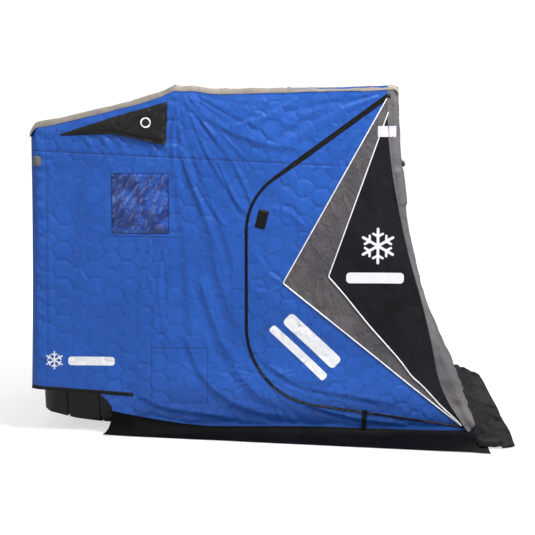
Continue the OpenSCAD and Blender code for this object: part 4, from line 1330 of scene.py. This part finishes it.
for prefix, side in sides.items():
    def sideBand(name, path, profile, material, moving=False, prefix=prefix):
        flat, lift, faces = strip(path, profile)
        return sidePiece(prefix, name, flat, lift, faces, material, moving=moving)

    def sideShape(name, field, low, high, lift, material, step=0.006, moving=False, prefix=prefix):
        flat, faces = flatGrid(low, high, step)
        flat, faces = clip(flat, faces, field)
        up = lift(flat[:, 0], flat[:, 1]) if callable(lift) else lift
        return sidePiece(prefix, name, flat, up, faces, material, moving=moving)

    # Binding on the hem that hangs on the sled, round the back corner
    r = cover["backCorner"]
    a = np.linspace(r - math.pi / 2 * r, 0.594, 60)
    sideBand("HemBinding", np.stack([a, hemLine(a) + 0.010], 1), domedProfile(0.022, 0.0045),
             cloth["bindingBlack"])

    # Seam under the roof, and the short one below the window
    a = np.linspace(-0.01, 1.800, 240)
    seam = np.stack([a, underRoofSeam(a)], 1)
    inDoor = doorDepth(seam[:, 0], seam[:, 1])
    sideBand("RoofSeam", seam[inDoor < -0.012], domedProfile(0.0055, 0.0016), cloth["seamBlue"])
    sideBand("DoorSeam", seam[inDoor > 0.012], domedProfile(0.0055, 0.0016), cloth["seamBlue"],
             moving=True)

    (x0, y0), (x1, y1) = hubPatch["low"], hubPatch["high"]
    for k, run in enumerate((((x0, y0), (x0, y1)), ((x0, y1), (x1, y1)), ((x1, y1), (x1, y0)), trim["lowSeam"])):
        sideBand("StitchRow%d" % (k + 1), resample(run, 0.012), domedProfile(0.0040, 0.0012), cloth["seamBlue"])

    # Side window
    wx, wz, ww, wh = trim["window"]
    field = boxField((wx, wz), (ww, wh), 0.004)
    left, right, foot, top = wx - ww / 2, wx + ww / 2, wz - wh / 2, wz + wh / 2
    sideShape("WindowPane", field, (left - 0.02, foot - 0.02), (right + 0.02, top + 0.02),
              lambda a, v: 0.0015 + smooth(0, 0.02, field(a, v)) * (
                  0.0055 * creases(a * 0.9 - v * 0.55, v * 0.35 + a * 0.25, 0.050, 601)
                  + 0.003 * (1 + latticeNoise(a * 1.4 - v * 0.8, v * 0.4, 0.03, 607))),
              clearVinyl, step=0.004)
    corners = [(left, foot), (right, foot), (right, top), (left, top)]
    for k in range(4):
        path = resample([corners[k], corners[(k + 1) % 4]], 0.008)
        sideBand("WindowStitch%d" % (k + 1), path, domedProfile(0.0042, 0.0020), cloth["edgeNavy"])

    # Vent: a hood that stands off at its lower edge
    low, high = (0.18, 1.69), (0.82, 1.95)

    def hood(a, v):
        top, foot = np.interp(a, *trim["ventTop"]) - v, v - np.interp(a, *trim["ventFoot"])
        return np.minimum(np.minimum(top, foot), trim["ventFront"] - a + 0.05 * (v - 1.8))

    def hoodLift(a, v):
        lower = np.interp(a, *trim["ventFoot"])
        up = np.clip(hood(a, v), 0, 1)
        opened = smooth(0.25, 0.75, a)
        full = trim["ventHigh"] * (0.25 + 0.75 * opened) * smooth(0, 0.03, up) ** 0.6
        lip = trim["ventHigh"] * 0.8 * opened * np.exp(-np.clip(v - lower, 0, 1) / 0.03)
        crinkle = 0.0018 * creases(a, v, 0.075, 611) + 0.0024 * latticeNoise(a + v, v * 0.5, 0.06, 621)
        return 0.002 + np.maximum(full, lip) + crinkle * smooth(0, 0.02, up)

    sideShape("VentHood", hood, low, high, hoodLift, cloth["ventBlack"])
    ringRadius = trim["ringRadius"]
    ringPath = [(trim["ringPlace"][0] + ringRadius * math.cos(t), trim["ringPlace"][1] + ringRadius * math.sin(t))
                for t in np.linspace(0, 2 * math.pi, 40, endpoint=False)]
    flat, lift, faces = strip(ringPath, [(-0.0045, 0.0), (0.0045, 0.0)], closedPath=True)
    lift = hoodLift(flat[:, 0], flat[:, 1]) + 0.0012
    sidePiece(prefix, "VentRing", flat, lift, faces, whitePrint)
    edgePath = resample(list(zip(*trim["ventFoot"])), 0.01)
    flat, lift, faces = strip(edgePath, domedProfile(0.007, 0.0025))
    sidePiece(prefix, "VentHem", flat, lift + hoodLift(flat[:, 0], flat[:, 1] + 0.004), faces, cloth["bindingBlack"])

    # Pull tab on the door's fastening, and reflective tabs at both ends
    tx, tz, tw, th, turn = trim["tab"]
    field = boxField((tx, tz), (tw, th), 0.008, turn)
    tab = sideShape("DoorTab", field, (tx - 0.08, tz - 0.08), (tx + 0.08, tz + 0.08),
                    lambda a, v: 0.0015 + 0.006 * smooth(0, 0.012, field(a, v)), cloth["bindingBlack"],
                    step=0.004, moving=True)
    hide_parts(prefix + "_door_tab")
    x, z, wide, high = trim["rearReflector"]
    sideShape("RearReflector", boxField((x, z), (wide, high), 0.002, 2), (-0.02, 1.56), (0.10, 1.66), 0.002,
              cloth["reflectiveGrey"])

    def aroundCorner(a, v, lift, side=side):
        points = onSide(side, a, v, lift)
        past = np.clip(a - (frontLine(v) - frontWall["corner"]), 0, frontWall["corner"] * 0.98)
        drop = frontWall["corner"] - np.sqrt(frontWall["corner"] ** 2 - past**2)
        points[:, 1] -= side * drop
        return points

    flat, faces = flatGrid(*trim["frontReflector"], 0.006)
    tabPiece = makePiece(prefix + "FrontReflector", aroundCorner(flat[:, 0], flat[:, 1], 0.0035), faces,
                         cloth["reflectiveWhite"], (("flat", flat),), body=None, flip=side > 0)
    blendDoor(tabPiece)

    # Skirt's binding along the sill
    a = np.linspace(0.455, 2.560, 240)
    sideBand("SkirtSeam", np.stack([a, skirtSeam(a) + 0.004], 1), domedProfile(0.010, 0.0030), cloth["skirtBlack"])

    # Zip slider with its strap
    px, pz = trim["pull"]
    sideShape("ZipSlider", boxField((px, pz + 0.010), (0.030, 0.018), 0.006, -6), (px - 0.03, pz - 0.02),
              (px + 0.03, pz + 0.04), 0.0085, cloth["bindingBlack"], step=0.003, moving=True)
    strapPath = resample([(px, pz + 0.004), (px - 0.004, pz - 0.045), (px - 0.002, pz - 0.096)], 0.006)
    sideBand("ZipStrap", strapPath, domedProfile(0.027, 0.0125, 0.005), cloth["bindingBlack"], moving=True)

marks = {
    "emblem": (2.015, 1.130, 0.105),       # snow crystal on the black panel: place and radius
    "emblemBar": (2.000, 0.945, 0.330, 0.062),
    "rearEmblem": (0.135, 0.440, 0.056),
    "rearBar": (0.350, 0.437, 0.270, 0.052),
    "doorBars": ((1.640, 0.575, 0.400, 0.082), (1.560, 0.505, 0.430, 0.048)),
    "doorTurn": -43,
}


def crystalField(centre, radius):
    # Six arms, each with a pair of short branches
    def field(a, v):
        da, dv = a - centre[0], v - centre[1]
        depth = np.full(np.shape(a), -9.0)
        for k in range(6):
            c, s = math.cos(math.pi / 3 * k + math.pi / 6), math.sin(math.pi / 3 * k + math.pi / 6)
            along, across = c * da + s * dv, np.abs(-s * da + c * dv)
            arm = radius * 0.075 - np.hypot(across, np.maximum(np.maximum(-along, along - radius * 0.93), 0))
            branchAlong = (along - radius * 0.52) * 0.5 + across * 0.866
            branchAcross = np.abs(-(along - radius * 0.52) * 0.866 + across * 0.5)
            pastBranch = np.maximum(np.maximum(-branchAlong, branchAlong - radius * 0.30), 0)
            branch = radius * 0.065 - np.hypot(branchAcross, pastBranch)
            depth = np.maximum(depth, np.maximum(arm, branch))
        return depth
    return field


def printMark(prefix, name, field, centre, reach, moving):
    flat, faces = flatGrid((centre[0] - reach, centre[1] - reach), (centre[0] + reach, centre[1] + reach), 0.005)
    flat, faces = clip(flat, faces, field)
    sidePiece(prefix, name, flat, 0.0010, faces, whitePrint, moving=moving)


for prefix in sides:
    x, z, radius = marks["emblem"]
    printMark(prefix, "EmblemMark", crystalField((x, z), radius), (x, z), radius + 0.01, True)
    x, z, wide, high = marks["emblemBar"]
    printMark(prefix, "EmblemBar", boxField((x, z), (wide, high), high * 0.35), (x, z), 0.2, True)
    x, z, radius = marks["rearEmblem"]
    printMark(prefix, "RearMark", crystalField((x, z), radius), (x, z), radius + 0.01, False)
    x, z, wide, high = marks["rearBar"]
    printMark(prefix, "RearBar", boxField((x, z), (wide, high), high * 0.35), (x, z), 0.16, False)
    for k, (x, z, wide, high) in enumerate(marks["doorBars"]):
        printMark(prefix, "DoorMark%d" % (k + 1), boxField((x, z), (wide, high), high * 0.3, marks["doorTurn"]),
                  (x, z), 0.25, True)
print("marks made")

for name, node in (("HemBinding", "side_hems"), ("WindowPane", "side_windows"), ("VentHood", "vent_hoods"),
                   ("RearReflector", "corner_tabs")):       # each node holds both sides
    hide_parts(node)
print("trim made")


skirt = {
    "back": 0.463,
    "front": 2.62,
    "narrow": 0.040,        # width at the back and the front
    "wide": 0.305,
    "rows": 150,
    "columns": 22,
}


def skirtWidth(a):
    return skirt["narrow"] + (skirt["wide"] - skirt["narrow"]) * (a - skirt["back"]) / (skirt["front"] - skirt["back"])


def onSideSkirt(side, a, w):
    # w runs from 0 at the seam to 1 at the outer edge
    a, w = np.asarray(a, float), np.asarray(w, float)
    t = (a - skirt["back"]) / (skirt["front"] - skirt["back"])
    width = skirtWidth(a)
    top = skirtSeam(a) + 0.006
    fall = np.exp(-w * width / (0.012 + 0.030 * t))
    ripple = 0.5 + 0.5 * latticeNoise(a * 1.0 + 0.5 * w * width, w * width * 0.6, 0.075, 701)
    soft = 0.5 + 0.5 * layeredNoise(a, w * width, 0.23, 711, 2)
    rucked = smooth(0.15, 0.9, t)
    waves = (0.006 + 0.008 * rucked) * (0.6 * ripple * smooth(0.0, 0.3, w) + soft)
    z = 0.0015 + top * fall + waves * (1 - fall) * (1 - 0.8 * w)
    inset = sideRelief(a, skirtSeam(a) + 0.004) * smooth(0.25, 0.0, w)      # the wall's foot is drawn in
    y = halfWide + 0.002 + inset + width * w - 0.012 * np.sin(math.pi * np.clip(w, 0, 1)) * fall
    slant = -0.058 * w * (1 - t) ** 3 + 0.012 * w * t
    return np.stack([backX + a + slant, side * y, z], -1)


for prefix, side in sides.items():
    a, w = np.meshgrid(np.linspace(skirt["back"], skirt["front"] + 0.02, skirt["rows"]),
                       np.linspace(0, 1, skirt["columns"]) ** 1.3, indexing="ij")
    flat = np.stack([a.ravel(), -(w * skirtWidth(a)).ravel()], 1)
    piece = makePiece(prefix + "SkirtCloth", onSideSkirt(side, a.ravel(), w.ravel()), gridQuads(a.shape),
                      cloth["skirtBlack"], (("flat", flat),), flip=side > 0)
    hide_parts(prefix + "_skirt")


frontSkirt = {
    "ends": (-1.19, 1.07),      # it runs on past the corner at the near end
    "reach": 0.214,
    "top": 0.066,               # height of its seam on the front wall
    "step": 0.010,
    "columns": 34,
}
frontSkirtStart = backX + frontLine(0.06) - 0.012


def skirtReach(q):
    near, far = frontSkirt["ends"]
    reach = frontSkirt["reach"] - 0.028 * smooth(-1.0, 0.9, q) + 0.006 * latticeNoise(q, 0 * q, 0.33, 801)
    reach = reach - 0.135 * smooth(far - 0.32, far, q) ** 1.3
    return reach - 0.075 * (1 - np.sqrt(np.clip(1 - smooth(near + 0.09, near, q) ** 2, 0, 1)))


def onFrontSkirt(q, w):
    # w runs from 0 at the front wall to 1 at the outer edge
    q, w = np.asarray(q, float), np.asarray(w, float)
    reach = skirtReach(q)
    over = smooth(halfWide - 0.04, halfWide + 0.05, np.abs(q))
    top = frontSkirt["top"] * (1 - 0.80 * over)
    fall = np.exp(-((w * reach / 0.050) ** 1.6))
    rucks = 0.5 + 0.5 * latticeNoise(q * 0.9 + 0.5 * w, w * reach, 0.12, 811)
    fine = 0.5 + 0.5 * latticeNoise(q + 0.8 * w * reach, 1.6 * w * reach, 0.05, 821)
    roll = 0.010 * bump(w, 0.86, 0.12) + (0.018 * rucks + 0.009 * fine) * smooth(0.1, 0.4, w)
    crossFold = 0.015 * np.exp(-np.abs(np.sin(q * 5.3 + 1.5 * w)) / 0.10) * smooth(0.0, 0.25, w)
    z = 0.004 + top * fall + (roll + crossFold) * smooth(1.0, 0.90, w) * (1 - 0.5 * over)
    return np.stack([frontSkirtStart + reach * w, q, z], -1)


q, w = np.meshgrid(np.arange(*frontSkirt["ends"], frontSkirt["step"]), np.linspace(0, 1, frontSkirt["columns"]),
                   indexing="ij")
flat = np.stack([q.ravel(), (w * skirtReach(q)).ravel()], 1)
piece = makePiece("frontSkirtCloth", onFrontSkirt(q.ravel(), w.ravel()), gridQuads(q.shape), cloth["skirtBlack"],
                  (("flat", flat),), flip=True)
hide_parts("front_skirt")

# The skirt's corner folded over itself: places out from the front wall's foot, and along it
flap = {
    "corners": ((-0.055, -0.985), (0.015, -0.800), (0.075, -0.900), (0.150, -1.090), (0.115, -1.185),
                (0.000, -1.150)),
    "stands": 0.016,
    "step": 0.006,
}


def flapLift(x, q):
    inside = np.clip(polygonField(flap["corners"])(x, q), 0, 1)
    return flap["stands"] * smooth(0.0, 0.018, inside) + 0.006 * latticeNoise(x, q, 0.05, 831) * smooth(0, 0.03, inside)


flat, faces = clip(*flatGrid((-0.07, -1.20), (0.16, -0.78), flap["step"]), polygonField(flap["corners"]))
points = onFrontSkirt(flat[:, 1], np.clip(flat[:, 0] / skirtReach(flat[:, 1]), 0, 1))
points[:, 0] = frontSkirtStart + flat[:, 0]
points[:, 2] += 0.003 + flapLift(flat[:, 0], flat[:, 1]) - 0.030 * smooth(0.0, -0.055, flat[:, 0])
makePiece("skirtFlap", points, faces, cloth["skirtBlack"], (("flat", flat),), flip=True)
print("skirts made")


# The frame and the sled keep their shapes and get their own finish
for name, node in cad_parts.items():
    if node.hide_render:
        continue
    finish = sledPlastic if name == "sled" else poleMetal
    for slotItem in node.material_slots:
        slotItem.material = finish
    if not node.material_slots:
        node.data.materials.append(finish)

box = {"cad": cadBox, "visual": [list(corner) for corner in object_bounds()]}
